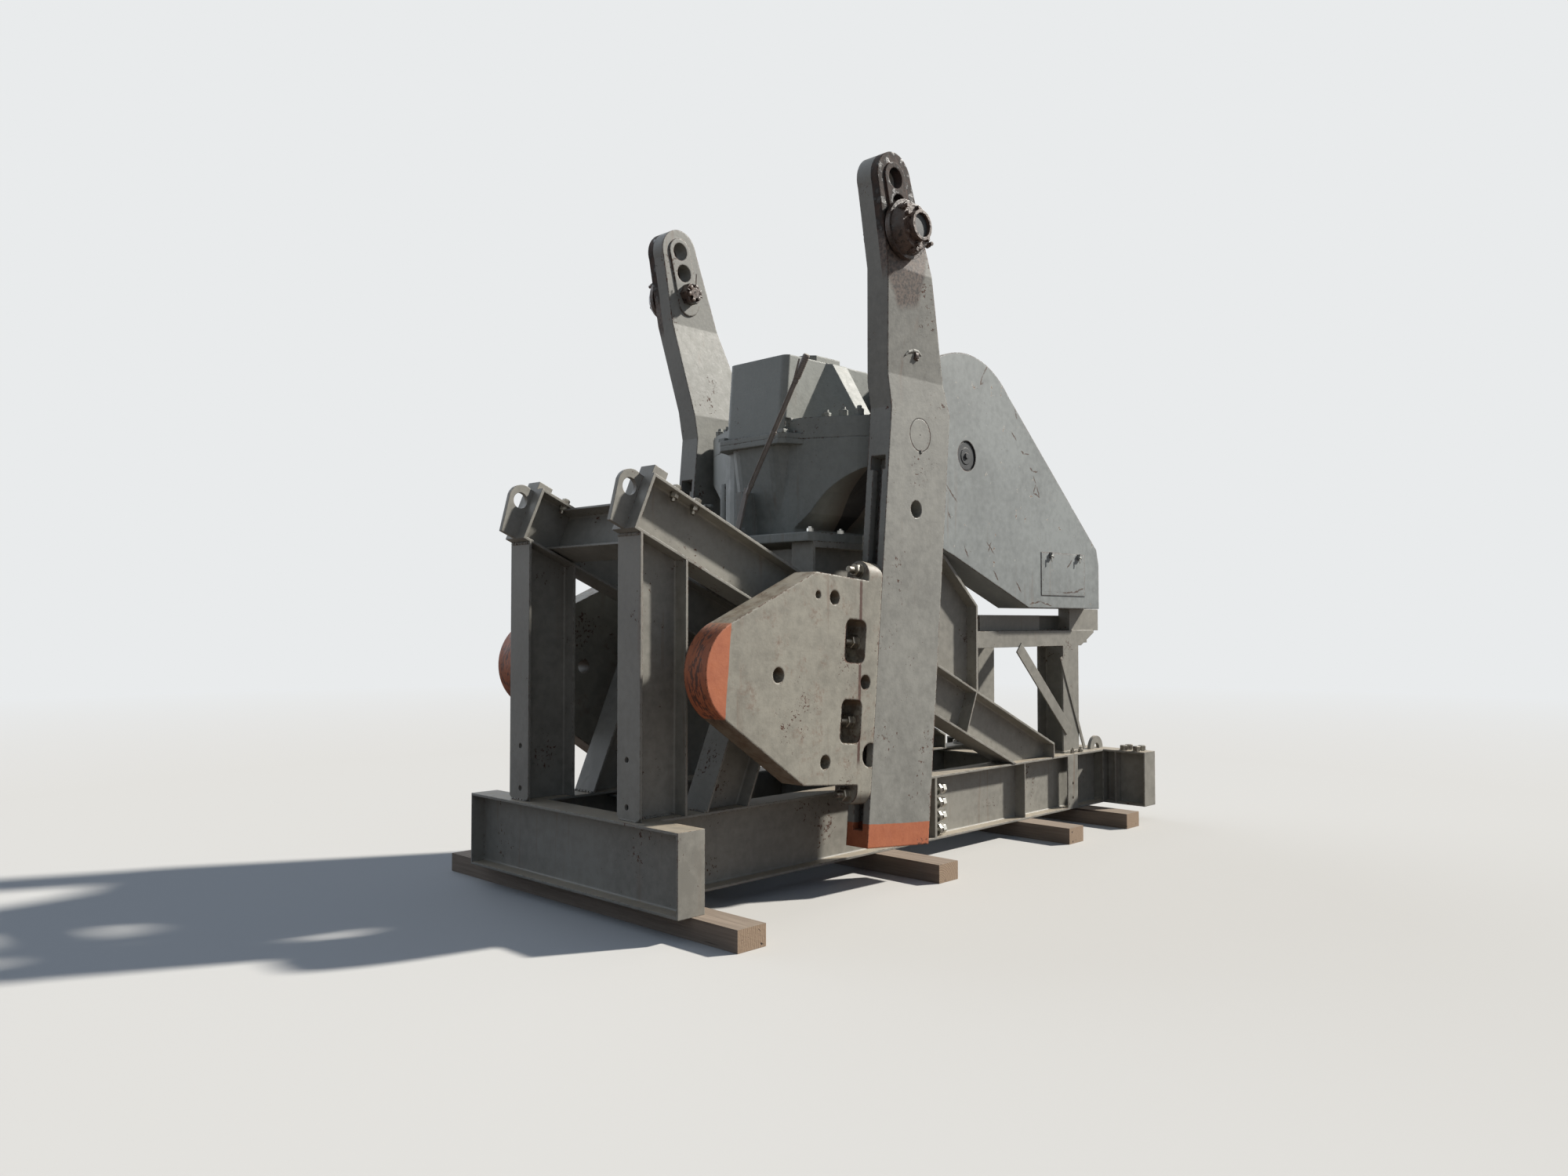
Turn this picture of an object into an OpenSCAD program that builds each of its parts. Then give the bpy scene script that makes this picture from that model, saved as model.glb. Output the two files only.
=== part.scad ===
// Pumpjack base unit: skid, inclined support frame, gear case, phased cranks and guard
// Millimetres, +Z up. Origin on the ground under the middle of the slow shaft.
// X runs to the rear, Y to the far side, the operator side is -Y.

/* [Skid] */
// height of the timbers under the skid
timber_h = 120; // [80:5:200]
// width of each timber
timber_w = 205; // [150:5:300]
// X of the front side of each timber
timber_x = [-2008, -12, 1745, 2658]; // [-2100:1:3000]
// near ends of the timbers
timber_near = [1390, 1183, 1107, 1103]; // [1000:1:1800]
// far ends of the timbers
timber_far = [1440, 1120, 1080, 1080]; // [1000:1:1800]
// depth of the skid beams
skid_depth = 460; // [350:5:550]
// flange width of the skid beams
skid_flange = 191; // [150:1:250]
// flange thickness of the skid beams
skid_tf = 16; // [10:1:24]
// web thickness of the skid beams
skid_tw = 10; // [6:1:16]
// half distance between the skid beam webs
half_gauge = 551; // [450:1:650]
// X of the front face of the skid
skid_front_x = -2104; // [-2400:1:-1900]
// X of the front face of the rear cross beam
rear_cross_x = 3111; // [2800:1:3400]
// X of the ties between the skid beams
tie_x = [-1300, 300, 2400]; // [-2000:1:3000]
// X of the plates that close the skid channels near the rear
closure_x = [2516, 2675]; // [2400:1:2800]
// X of the pad eyes on the rear cross beam
pad_eye_x = 3141; // [3100:1:3200]
// length of the front and rear cross beams
cross_len = 2064; // [1800:1:2300]
// thickness of the end plates
end_plate = 12; // [8:1:20]
// X of the bolted skid splice
splice_x = 690; // [600:1:900]

/* [Ramp frame] */
// depth of the post and ramp sections
col_depth = 350; // [300:1:400]
// flange width of the post and ramp sections
col_flange = 205; // [160:1:260]
// flange thickness of the post and ramp sections
col_tf = 17; // [10:1:24]
// web thickness of the post and ramp sections
col_tw = 11; // [6:1:16]
// slope of the ramp beams
ramp_deg = 23.43; // [20:0.01:28]
// height of the ramp top line under the slow shaft
ramp_z0 = 1690; // [1500:1:1800]
// distance along the slope from the shaft line to the front end
ramp_front = 2118; // [2000:1:2300]
// X of the rear vertical cut of the ramp beams
ramp_rear_x = 2294; // [2100:1:2500]
// X of the front face of the posts
post_x = -2057; // [-2100:1:-2000]
// distance along the slope from the shaft line to the upper cross beam
upper_cross_at = 1818; // [1500:1:2000]
// lean of the struts from vertical
strut_deg = 23; // [10:1:40]
// X of the strut front face at the skid top
strut_x = -1561; // [-1700:1:-1400]
// depth of the strut section
strut_depth = 318; // [250:1:350]

/* [Pedestal] */
// height of the pedestal top
ped_z = 2220; // [2000:1:2400]
// X of the pedestal front edge
ped_front_x = -634; // [-800:1:-500]
// X where the pedestal rear slope starts
ped_slope_x = 695; // [600:1:900]
// bend of the pedestal rear slope under the guard
ped_knee = [800, 2184]; // [600:1:2400]
// X of the pedestal rear edge
ped_rear_x = 1212; // [1100:1:1300]
// height where the rear slope ends
ped_rear_z = 1819; // [1700:1:1950]
// plate thickness of the upright pedestal flanges
ped_t = 22; // [10:1:30]
// thickness of the pedestal top
ped_top_t = 40; // [20:1:60]
// plate thickness of the pedestal walls
wall_t = 14; // [8:1:20]

/* [Gear case] */
// height of the slow shaft
shaft_z = 2937; // [2700:1:3200]
// radius of the slow shaft
shaft_r = 110; // [90:1:140]
// half width of the gear case body
case_half = 290; // [240:1:340]
// half width across the slow shaft bearings
bearing_half = 800; // [700:1:820]
// half length of the slow shaft bearing housings along X
bearing_r = 290; // [220:1:330]
// height of the flat bearing caps above the shaft
cap_h = 143; // [125:1:200]
// thickness of the foot
foot_t = 60; // [30:1:80]
// X of the gear case front at the split
case_front_x = -554; // [-650:1:-450]
// X of the gear case rear at the split
case_rear_x = 1290; // [1200:1:1400]
// thickness of each split flange
split_t = 37; // [20:1:50]
// height of the cover above the split
cover_h = 583; // [500:1:650]
// lean of the lower front
lower_lean = 9; // [0:0.1:20]
// lean of the cover front
cover_lean = 4.9; // [0:0.1:10]
// height of the hatch
hatch_h = 50; // [30:1:80]
// X of the fast shaft
fast_x = 1013; // [900:1:1100]
// radius of the fast shaft
fast_r = 55; // [40:1:70]

/* [Cranks] */
// distance from the centre plane to the inner hub face
hub_in = 855; // [840:1:900]
// distance from the centre plane to the outer hub face
hub_out = 1032; // [1000:1:1080]
// outward offset of the pin arm
arm_offset = 108; // [60:1:140]
// height above the shaft where the offset starts
offset_low = 330; // [200:1:450]
// height above the shaft where the offset ends
offset_high = 1029; // [800:1:1100]
// width of the counterweight arm
arm_w = 630; // [500:1:700]
// length of the counterweight arm below the shaft
arm_len = 2695; // [2400:1:2780]
// lean of the counterweight arm to the front
arm_deg = 5.1; // [0:0.1:15]
// lean of the pin arm to the front
pin_deg = 14; // [0:0.1:25]
// radius of the outer pin hole circle
pin_r1 = 1636; // [1500:1:1750]
// distance between the pin holes
pin_step = 164; // [120:1:200]
// radius of the pin holes
pin_hole_r = 66; // [50:1:80]
// radius of the crank tip
tip_r = 167; // [150:1:190]
// width of the T-slot mouth
slot_w = 76; // [50:1:100]
// width inside the T-slot
slot_in_w = 118; // [90:1:140]
// running gap of turning parts
run_gap = 0.05; // [0.01:0.01:0.1]

/* [Counterweights] */
// half height of the counterweight
cw_half = 636; // [500:1:700]
// distance of the counterweight centre from the shaft along the arm
cw_pos = 1663; // [1500:1:1750]
// reach of the counterweight in front of the arm
cw_reach = 1452; // [1300:1:1500]
// nose radius of the counterweight
cw_nose_r = 300; // [200:1:350]
// reach of the straight top and bottom edges
cw_flat = 620; // [500:1:700]
// thickness of the counterweight
cw_t = 182; // [150:1:200]
// thickness of the bolting ears
ear_t = 133; // [100:1:160]
// height of the bolting ears
ear_h = 129; // [100:1:150]

/* [Guard] */
// distance from the centre plane to the outer guard face
guard_out = 693; // [650:1:740]
// distance from the centre plane to the inner guard face
guard_in = 401; // [380:1:450]
// sheet thickness of the guard
guard_t = 6; // [3:1:10]
// radius of the guard round the fast shaft
guard_r = 770; // [700:1:800]
// radius of the inspection hole
guard_hole_r = 114; // [80:1:140]
// X of the flat front edge of the guard
guard_front_x = 306; // [300:1:400]
// height of the flat underside of the guard
guard_low = 1808; // [1750:1:1850]
// size of the guard door
door_size = [662, 330]; // [200:1:800]

/* [Platform] */
// height of the platform top
deck_z = 1622; // [1500:1:1700]
// X of the front end of the platform
deck_front_x = 1216; // [1100:1:1400]
// X of the rear end of the platform
deck_rear_x = 3115; // [3000:1:3300]
// half width of the platform
deck_half = 560; // [500:1:620]
// depth of the platform channels
deck_depth = 130; // [100:1:200]
// side of the leg sections
leg_w = 254; // [150:1:300]
// X of the leg front edge
leg_x = 2595; // [2500:1:2800]
// height of the motor rails
rail_h = 128; // [100:1:160]
// X of the front end of the motor rails
rail_x = 1447; // [1300:1:1600]
// lengths of the outer and the inner rail of each pair
rail_len = [871, 1390]; // [500:1:1600]

/* [Hidden] */
$fn = 96;
skid_z = timber_h;
skid_top = timber_h + skid_depth;
ramp_tan = tan(ramp_deg);
ramp_drop = col_depth / cos(ramp_deg);
paint = [0.47, 0.49, 0.45];
cast_paint = [0.5, 0.52, 0.47];
dark_steel = [0.2, 0.19, 0.18];
wood = [0.42, 0.33, 0.24];
arm_dir = [-sin(arm_deg), -cos(arm_deg)];
arm_side = [-cos(arm_deg), sin(arm_deg)];
arm_end = [arm_len * arm_dir[0], arm_len * arm_dir[1]];
cw_gap = 0.3;
cw_pocket = [190, 270];
cw_pocket_at = 248;
cw_pocket_u = 228;
cw_angle = 28.5;
cw_notch = 452;
tip_out = hub_out + arm_offset - 5;
tip_in = hub_in + arm_offset;
sheave_r = 640;
root_r = 12;
rest_gap = 0.3;
cap_in = 363;
cap_out = 790;
door_at = [2051, 1922];
mid_shaft_x = 600;
lever_at = [-640, 60, 2308];
lever_deg = 32.7;
lever_knee = [-97, 288];
lever_pin_r = 14;
channel_w = 70;

function ramp_top(x) = ramp_z0 - ramp_tan * x;
function ramp_low(x) = ramp_top(x) - ramp_drop;
function pin_at(n) = let(r = pin_r1 - (n - 1) * pin_step) [-r * sin(pin_deg), r * cos(pin_deg)];
function arm_point(u, v) = [v * arm_dir[0] + u * arm_side[0], v * arm_dir[1] + u * arm_side[1]];

// rolled I-section, depth along +Y from zero, with root fillets
module i_section(d, b, tf, tw, r = root_r) {
    difference() {
        translate([-b / 2, 0]) square([b, d]);
        for (s = [-1, 1]) {
            translate([s * (tw / 2 + b / 4), d / 2]) square([b / 2, d - 2 * (tf + r)], center = true);
            translate([s * (tw / 2 + r + b / 4), d / 2]) square([b / 2, d - 2 * tf], center = true);
            for (e = [tf + r, d - tf - r]) {
                translate([s * (tw / 2 + r), e]) circle(r, $fn = 24);
            }
        }
    }
}

// I-beam along +X, web upright, underside at zero
module beam_x(l, d, b, tf, tw) {
    rotate([90, 0, 90]) linear_extrude(l) i_section(d, b, tf, tw);
}

// I-beam along Y, centred on Y, web upright
module beam_y(l, d, b, tf, tw) {
    translate([0, -l / 2, 0]) rotate([0, 0, 90]) beam_x(l, d, b, tf, tw);
}

// I-column along +Z, depth along +X from zero
module beam_z(h, d, b, tf, tw) {
    linear_extrude(h) rotate(-90) i_section(d, b, tf, tw);
}

// extrudes an XZ outline from y0 to y1
module slab(y0, y1) {
    translate([0, y1, 0]) rotate([90, 0, 0]) linear_extrude(y1 - y0) children();
}

// the same for the near side
module near_of() {
    mirror([0, 1, 0]) children();
}

module timber(n) {
    color(wood) translate([timber_x[n], -timber_near[n], 0])
        cube([timber_w, timber_near[n] + timber_far[n], timber_h]);
}

module front_timber() {
    timber(0);
}

module mid_timber() {
    timber(1);
}

module rear_timber_a() {
    timber(2);
}

module rear_timber_b() {
    timber(3);
}

// skid beam on the far side with its splice plate, web stiffener and rear closure plate
module skid_beam() {
    x0 = skid_front_x + skid_flange;
    edge = half_gauge + skid_flange / 2;
    translate([x0, half_gauge, skid_z])
        beam_x(rear_cross_x - x0, skid_depth, skid_flange, skid_tf, skid_tw);
    for (x = [splice_x - 26, 1850]) {
        translate([x, half_gauge - skid_flange / 2, skid_z + skid_tf - 1])
            cube([x < splice_x ? 26 : 12, skid_flange, skid_depth - 2 * skid_tf + 2]);
    }
    slab(edge - 10, edge) difference() {
        translate([closure_x[0], skid_z + skid_tf - 1])
            square([closure_x[1] - closure_x[0], skid_depth - 2 * skid_tf + 2]);
        for (z = [214, 336]) {
            translate([(closure_x[0] + closure_x[1]) / 2, z]) circle(11);
        }
    }
}

module far_skid_beam() {
    color(paint) skid_beam();
}

module near_skid_beam() {
    color(paint) near_of() skid_beam();
}

// wide cross beam along Y with closing plates, front face at x
module cross_beam(x) {
    translate([x + skid_flange / 2, 0, skid_z])
        beam_y(cross_len - 2 * end_plate, skid_depth, skid_flange, skid_tf, skid_tw);
    for (s = [-1, 1]) {
        translate([x, s * (cross_len / 2 - end_plate / 2) - end_plate / 2, skid_z])
            cube([skid_flange, end_plate, skid_depth]);
    }
}

module front_cross_beam() {
    color(paint) cross_beam(skid_front_x);
}

// arched lifting eye plate, its foot at zero
module pad_eye() {
    slab(-14, 14) difference() {
        union() {
            translate([-29, -rest_gap - 1]) square([139, 12]);
            circle(110);
        }
        translate([-120, -120]) square([91, 120]);
        translate([-30, -120]) square([150, 120 - rest_gap - 1]);
        circle(47);
    }
}

module rear_cross_beam() {
    color(paint) union() {
        cross_beam(rear_cross_x);
        for (s = [-1, 1]) {
            for (y = [half_gauge + skid_flange / 2 - 6, 760]) {
                translate([rear_cross_x, s * y - 6, skid_z + skid_tf - 1])
                    cube([skid_flange, 12, skid_depth - 2 * skid_tf + 2]);
            }
            translate([pad_eye_x, s * half_gauge, skid_top + rest_gap]) pad_eye();
        }
    }
}

// tie between the skid webs
module tie_beam(n) {
    inset = skid_tf + root_r + 2;
    color(paint) translate([tie_x[n], 0, skid_z + inset])
        beam_y(2 * (half_gauge - skid_tw / 2), skid_depth - 2 * inset, 160, 14, 9);
}

module front_tie() {
    tie_beam(0);
}

module middle_tie() {
    tie_beam(1);
}

module rear_tie() {
    tie_beam(2);
}

// post on the front cross beam, cut to the ramp slope
module front_post() {
    difference() {
        translate([post_x, half_gauge, skid_top]) beam_z(1800, col_depth, col_flange, col_tf, col_tw);
        slab(0, 900) polygon([[-2400, ramp_low(-2400)], [-1400, ramp_low(-1400)], [-1400, 3000],
            [-2400, 3000]]);
        for (z = [skid_top + 75, skid_top + 340]) {
            translate([post_x - 10, half_gauge - 15, z]) rotate([0, 90, 0]) cylinder(h = 50, r = 17);
        }
        for (s = [-1, 1]) {
            translate([post_x - 10, half_gauge + s * col_flange / 2, skid_top]) rotate([45, 0, 0])
                cube([50, 34, 34], center = true);
        }
    }
}

module far_front_post() {
    color(paint) front_post();
}

module near_front_post() {
    color(paint) near_of() front_post();
}

// inclined beam with end plate, stop block and lifting lug, cut flat on the skid
module ramp_beam() {
    intersection() {
        translate([0, half_gauge, ramp_z0]) rotate([0, ramp_deg, 0]) {
            translate([-ramp_front, 0, -col_depth]) beam_x(5200, col_depth, col_flange, col_tf, col_tw);
            translate([-ramp_front - 20, -col_flange / 2, -col_depth]) cube([20, col_flange, col_depth]);
            translate([-ramp_front - 20, -40, -1]) cube([105, 125, 53]);
            slab(-14, 14) difference() {
                union() {
                    translate([-ramp_front - 75, -105]) circle(95);
                    translate([-ramp_front - 21, -col_depth]) polygon([[0, 0], [2, 0], [2, 335], [-60, 335],
                        [-150, 245], [-110, 0]]);
                }
                translate([-ramp_front - 85, -115]) circle(50);
            }
        }
        slab(0, 1000) polygon([[-2600, skid_top], [ramp_rear_x, skid_top], [ramp_rear_x, 3600],
            [-2600, 3600]]);
    }
    translate([ramp_rear_x - 14, half_gauge - col_flange / 2, skid_top]) {
        cube([14, col_flange, ramp_top(ramp_rear_x) - skid_top - 8]);
    }
    translate([0, half_gauge, ramp_z0]) rotate([0, ramp_deg, 0]) {
        translate([1290, -col_flange / 2, -col_depth + col_tf])
            cube([14, col_flange, col_depth - 2 * col_tf]);
    }
}

module far_ramp_beam() {
    color(paint) ramp_beam();
}

module near_ramp_beam() {
    color(paint) near_of() ramp_beam();
}

// tilted tie between the ramp webs near the front
module upper_cross_beam() {
    inset = col_tf + root_r + 2;
    color(paint) translate([0, 0, ramp_z0]) rotate([0, ramp_deg, 0])
        translate([-upper_cross_at, 0, -col_depth + inset])
        beam_y(2 * (half_gauge - col_tw / 2), col_depth - 2 * inset, 200, 14, 10);
}

// leaning strut from the skid top to the underside of the ramp beam
module strut() {
    intersection() {
        translate([strut_x, half_gauge, skid_top]) rotate([0, strut_deg, 0]) translate([0, 0, -300])
            beam_z(2200, strut_depth, col_flange, 14, 10);
        slab(0, 1000) polygon([[-2000, skid_top], [800, skid_top], [800, ramp_low(800) - rest_gap],
            [-2000, ramp_low(-2000) - rest_gap]]);
    }
}

module far_strut() {
    color(paint) strut();
}

module near_strut() {
    color(paint) near_of() strut();
}

// wedge plate with flanges all round, standing on the ramp beam
module pedestal_side() {
    foot = ramp_top(ped_front_x) + rest_gap;
    rear_foot = ramp_top(ped_rear_x) + rest_gap;
    slab(half_gauge - wall_t / 2, half_gauge + wall_t / 2) polygon([[ped_front_x, foot],
        [ped_front_x, ped_z], [ped_slope_x, ped_z], ped_knee, [ped_rear_x, ped_rear_z],
        [ped_rear_x, rear_foot]]);
    slab(half_gauge - skid_flange / 2, half_gauge + skid_flange / 2) {
        difference() {
            polygon([[ped_front_x, foot], [ped_front_x, ped_z], [ped_slope_x, ped_z], ped_knee,
                [ped_rear_x, ped_rear_z], [ped_rear_x, rear_foot]]);
            polygon([[ped_front_x + ped_t, 0], [ped_front_x + ped_t, ped_z - ped_top_t],
                [ped_slope_x, ped_z - ped_top_t], ped_knee - [12, 26],
                [ped_rear_x - ped_t, ped_rear_z - 6], [ped_rear_x - ped_t, 0]]);
        }
        translate([200, ramp_top(200) + rest_gap]) square([16, ped_z - ramp_top(200) - ped_top_t + 1]);
    }
}

module far_pedestal_side() {
    color(paint) pedestal_side();
}

module near_pedestal_side() {
    color(paint) near_of() pedestal_side();
}

// plate between the pedestal sides, under their tops
module pedestal_wall(x, z0) {
    inner = half_gauge - wall_t / 2;
    color(paint) translate([x, -inner, z0]) cube([wall_t, 2 * inner, ped_z - ped_top_t - rest_gap - z0]);
}

module pedestal_front_wall() {
    x = ped_front_x + ped_t + 30;
    pedestal_wall(x, ramp_top(x) + rest_gap);
}

module pedestal_rear_wall() {
    pedestal_wall(ped_slope_x - 60, 1560);
}

// plan of the case box from its front at zero, front corners rounded by r
module case_plan(r) {
    front = [for (a = [0 : 15 : 90]) [r - r * cos(a), case_half - r + r * sin(a)]];
    back = [for (a = [90 : -15 : 0]) [r - r * cos(a), r - case_half - r * sin(a)]];
    polygon(concat(front, [[2600, case_half], [2600, -case_half]], back));
}

// case box inside its XZ outline, the front leaning by a degrees
module case_box(a, r) {
    intersection() {
        slab(-case_half, case_half) children();
        translate([case_front_x, 0, shaft_z]) rotate([0, a, 0]) translate([0, 0, -1000])
            linear_extrude(2000) case_plan(r);
    }
}

// plan of the bearing supports with their hollow front, both sides, from z0 to z1
module support_plan(z0, z1) {
    side = [[-470, 270], [-455, 330], [-425, 400], [-385, 480], [-345, 560], [-305, 640], [-262, 710],
        [-215, 770], [-190, bearing_half], [190, bearing_half], [215, 770], [bearing_r, 690],
        [bearing_r, 270]];
    other = [for (i = [len(side) - 1 : -1 : 0]) [side[i][0], -side[i][1]]];
    translate([0, 0, z0]) linear_extrude(z1 - z0) polygon(concat(side, other));
}

// outline of the split flange from z0 to z1, hollow towards the bearings
module split_flange(z0, z1) {
    edge = case_half + 45;
    front = case_front_x - 36;
    rear = case_rear_x + 36;
    side = [[front, edge - 45], [front + 30, edge - 8], [-500, 345], [-430, 378], [-360, 418], [-310, 460],
        [-bearing_r + 5, 520], [bearing_r, 520], [bearing_r, edge], [rear, edge]];
    other = [for (i = [len(side) - 1 : -1 : 0]) [side[i][0], -side[i][1]]];
    translate([0, 0, z0]) linear_extrude(z1 - z0) polygon(concat(side, other));
}

// half round bosses of the inner shafts, h above or below the split
module shaft_bosses(h) {
    for (x = [mid_shaft_x, fast_x]) {
        r = x == fast_x ? 130 : 190;
        slab(-case_half - 95, case_half + 95) intersection() {
            translate([x, shaft_z]) circle(r);
            translate([x - r, min(shaft_z, shaft_z + h)]) square([2 * r, abs(h)]);
        }
    }
}

// bores of the slow shaft and the fast shaft
module shaft_bores() {
    slab(-bearing_half - 10, bearing_half + 10) translate([0, shaft_z]) circle(shaft_r + run_gap);
    slab(-case_half - 150, case_half + 150) translate([fast_x, shaft_z]) circle(fast_r + run_gap);
}

// lower housing: foot, leaning front, hollow flared bearing supports and split flange
module gear_case_lower() {
    flare = [[308, ped_z], [312, 2330], [350, 2368], [414, 2431], [462, 2502], [517, 2574], [564, 2616],
        [615, 2654], [668, 2688], [724, 2718], [bearing_half, 2745], [bearing_half, shaft_z]];
    other = [for (i = [len(flare) - 1 : -1 : 0]) [-flare[i][0], flare[i][1]]];
    color(cast_paint) difference() {
        union() {
            translate([ped_front_x - 44, -half_gauge - 95, ped_z])
                cube([1268, 2 * half_gauge + 190, foot_t]);
            translate([0, -case_half - 98, ped_z]) cube([1150, 2 * case_half + 196, foot_t]);
            case_box(-lower_lean, 150) polygon([[-900, ped_z], [-900, shaft_z], [case_rear_x, shaft_z],
                [case_rear_x, shaft_z - 200], [case_rear_x - 260, ped_z]]);
            intersection() {
                rotate([90, 0, 90]) translate([0, 0, -500]) linear_extrude(1000)
                    polygon(concat(flare, other));
                support_plan(ped_z, shaft_z);
            }
            split_flange(shaft_z - split_t, shaft_z);
            shaft_bosses(-200);
            translate([lever_at[0] + 36, 45, ped_z]) cube([150, 72, 375]);
            translate([lever_at[0] + 36, 20, ped_z]) cube([14, 90, 126]);
            translate(lever_at) rotate([0, 90, 0]) translate([0, 0, -36]) cylinder(h = 76, r = lever_pin_r);
        }
        shaft_bores();
    }
}

// hipped hump of the far side between the cover top and the bearing cap
module cover_hump() {
    top = shaft_z + cover_h - 6;
    intersection() {
        slab(case_half - 40, bearing_half) polygon([[-480, shaft_z], [-480, 3035], [-138, top], [138, top],
            [bearing_r, 3260], [bearing_r, shaft_z]]);
        rotate([90, 0, 90]) translate([0, 0, -500]) linear_extrude(1000) polygon([[200, shaft_z],
            [200, top], [318, top], [588, shaft_z + cap_h], [588, shaft_z]]);
        for (s = [0, 1]) {
            mirror([s, 0, 0]) translate([-75, 322, 3509]) rotate([0, 67.2, 136.1])
                translate([-1500, -1500, -3000]) cube(3000);
        }
    }
}

// upper housing: leaning front, hipped humps, flat bearing caps and split flange
module gear_case_cover() {
    color(cast_paint) difference() {
        union() {
            case_box(cover_lean, 55) polygon([[-700, shaft_z], [-700, shaft_z + cover_h],
                [330, shaft_z + cover_h], [430, shaft_z + 540], [840, shaft_z + 500], [1180, shaft_z + 190],
                [case_rear_x, shaft_z + 60], [case_rear_x, shaft_z]]);
            cover_hump();
            near_of() cover_hump();
            for (s = [-1, 1]) {
                intersection() {
                    translate([-470, s > 0 ? cap_in : -cap_out, shaft_z])
                        cube([470 + bearing_r, cap_out - cap_in, cap_h]);
                    support_plan(shaft_z, shaft_z + cap_h);
                }
                slab(s > 0 ? 610 : -cap_out, s > 0 ? cap_out : -610) intersection() {
                    translate([0, shaft_z]) circle(195);
                    translate([-200, shaft_z]) square([400, 200]);
                }
                translate([case_front_x - 22, s * 290 - 32, shaft_z + split_t - 1]) cube([64, 64, 24]);
            }
            intersection() {
                support_plan(shaft_z, shaft_z + 88);
                slab(-cap_in - 20, cap_in + 20) translate([-480, shaft_z]) square([480 + bearing_r, 88]);
            }
            split_flange(shaft_z, shaft_z + split_t);
            shaft_bosses(200);
        }
        shaft_bores();
    }
}

module gear_case_hatch() {
    color(cast_paint) translate([0, 0, shaft_z + cover_h]) linear_extrude(hatch_h) polygon([[-229, -190],
        [-169, -250], [79, -250], [139, -190], [139, 190], [79, 250], [-169, 250], [-229, 190]]);
}

module crankshaft() {
    color(dark_steel) slab(-hub_out, hub_out) translate([0, shaft_z]) circle(shaft_r);
}

// crank body in its XZ outline from y0 to y1
module crank_body(y0, y1) {
    p1 = pin_at(1);
    half = arm_w / 2;
    k = tip_r - 3;
    slab(y0, y1) polygon([
        [arm_end[0] + half * arm_side[0], arm_end[1] + half * arm_side[1]],
        [-300, 157], [p1[0] - 0.983 * k, p1[1] - 0.184 * k], p1,
        [p1[0] + 0.934 * k, p1[1] + 0.357 * k], [331, 169],
        [arm_end[0] - half * arm_side[0], arm_end[1] - half * arm_side[1]]
    ]);
    slab(y0, y1) translate(p1) circle(tip_r);
}

// oblong pad round the pin holes from y0 to y1
module pin_pad(y0, y1, r) {
    p1 = pin_at(1);
    p4 = pin_at(3.35);
    for (p = [p1, p4]) {
        slab(y0, y1) translate(p) circle(r);
    }
    slab(y0, y1) translate(p4) rotate(pin_deg) translate([2 - r, 0]) square([2 * r - 4, norm(p1 - p4)]);
}

// T-slot cavity along one edge of the arm, s = 1 for the front edge and -1 for the rear edge
module t_slot(s) {
    y0 = (hub_in + hub_out) / 2;
    rotate([0, arm_deg, 0]) mirror([s < 0 ? 1 : 0, 0, 0]) translate([-arm_w / 2, y0, -2590]) {
        translate([-60, -slot_w / 2, 0]) cube([121, slot_w, 2330]);
        translate([55, -slot_in_w / 2, 0]) cube([50, slot_in_w, 2400]);
        translate([-60, -slot_in_w / 2, 2310]) cube([165, slot_in_w, 90]);
    }
}

// far side crank: phased pin arm set outward, counterweight arm with T-slots
module crank() {
    translate([0, 0, shaft_z]) difference() {
        union() {
            intersection() {
                crank_body(hub_in, hub_out + arm_offset);
                rotate([90, 0, 90]) translate([0, 0, -900]) linear_extrude(1800) polygon([[hub_in, -2900],
                    [hub_in, offset_low], [tip_in, offset_high], [tip_in, 1900], [tip_out, 1900],
                    [tip_out, offset_high], [hub_out, offset_low + 40], [hub_out, -2900]]);
            }
            pin_pad(tip_in - 10, tip_out + 10, 102);
        }
        for (n = [1 : 3]) {
            slab(0, 1400) translate(pin_at(n)) circle(pin_hole_r);
        }
        slab(0, 1400) circle(shaft_r);
        slab(0, 1400) translate([-46, -498]) circle(58);
        t_slot(1);
        t_slot(-1);
    }
}

module far_crank() {
    color(cast_paint) crank();
}

module near_crank() {
    color(cast_paint) near_of() crank();
}

// counterweight outline, u forward from the arm edge, v along the arm
module cw_outline() {
    tx = cw_nose_r * sin(cw_angle);
    ty = cw_nose_r * cos(cw_angle);
    cx = cw_reach - cw_nose_r;
    polygon([[0, -cw_half], [cw_flat, -cw_half], [cx + tx, -ty], [cx + tx, ty], [cw_flat, cw_half],
        [0, cw_half]]);
    translate([cx, 0]) circle(cw_nose_r);
}

// rounded rectangle centred on zero
module round_rect(w, h, r) {
    square([w - 2 * r, h], center = true);
    square([w, h - 2 * r], center = true);
    for (x = [-1, 1]) {
        for (y = [-1, 1]) {
            translate([x * (w / 2 - r), y * (h / 2 - r)]) circle(r, $fn = 32);
        }
    }
}

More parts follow.
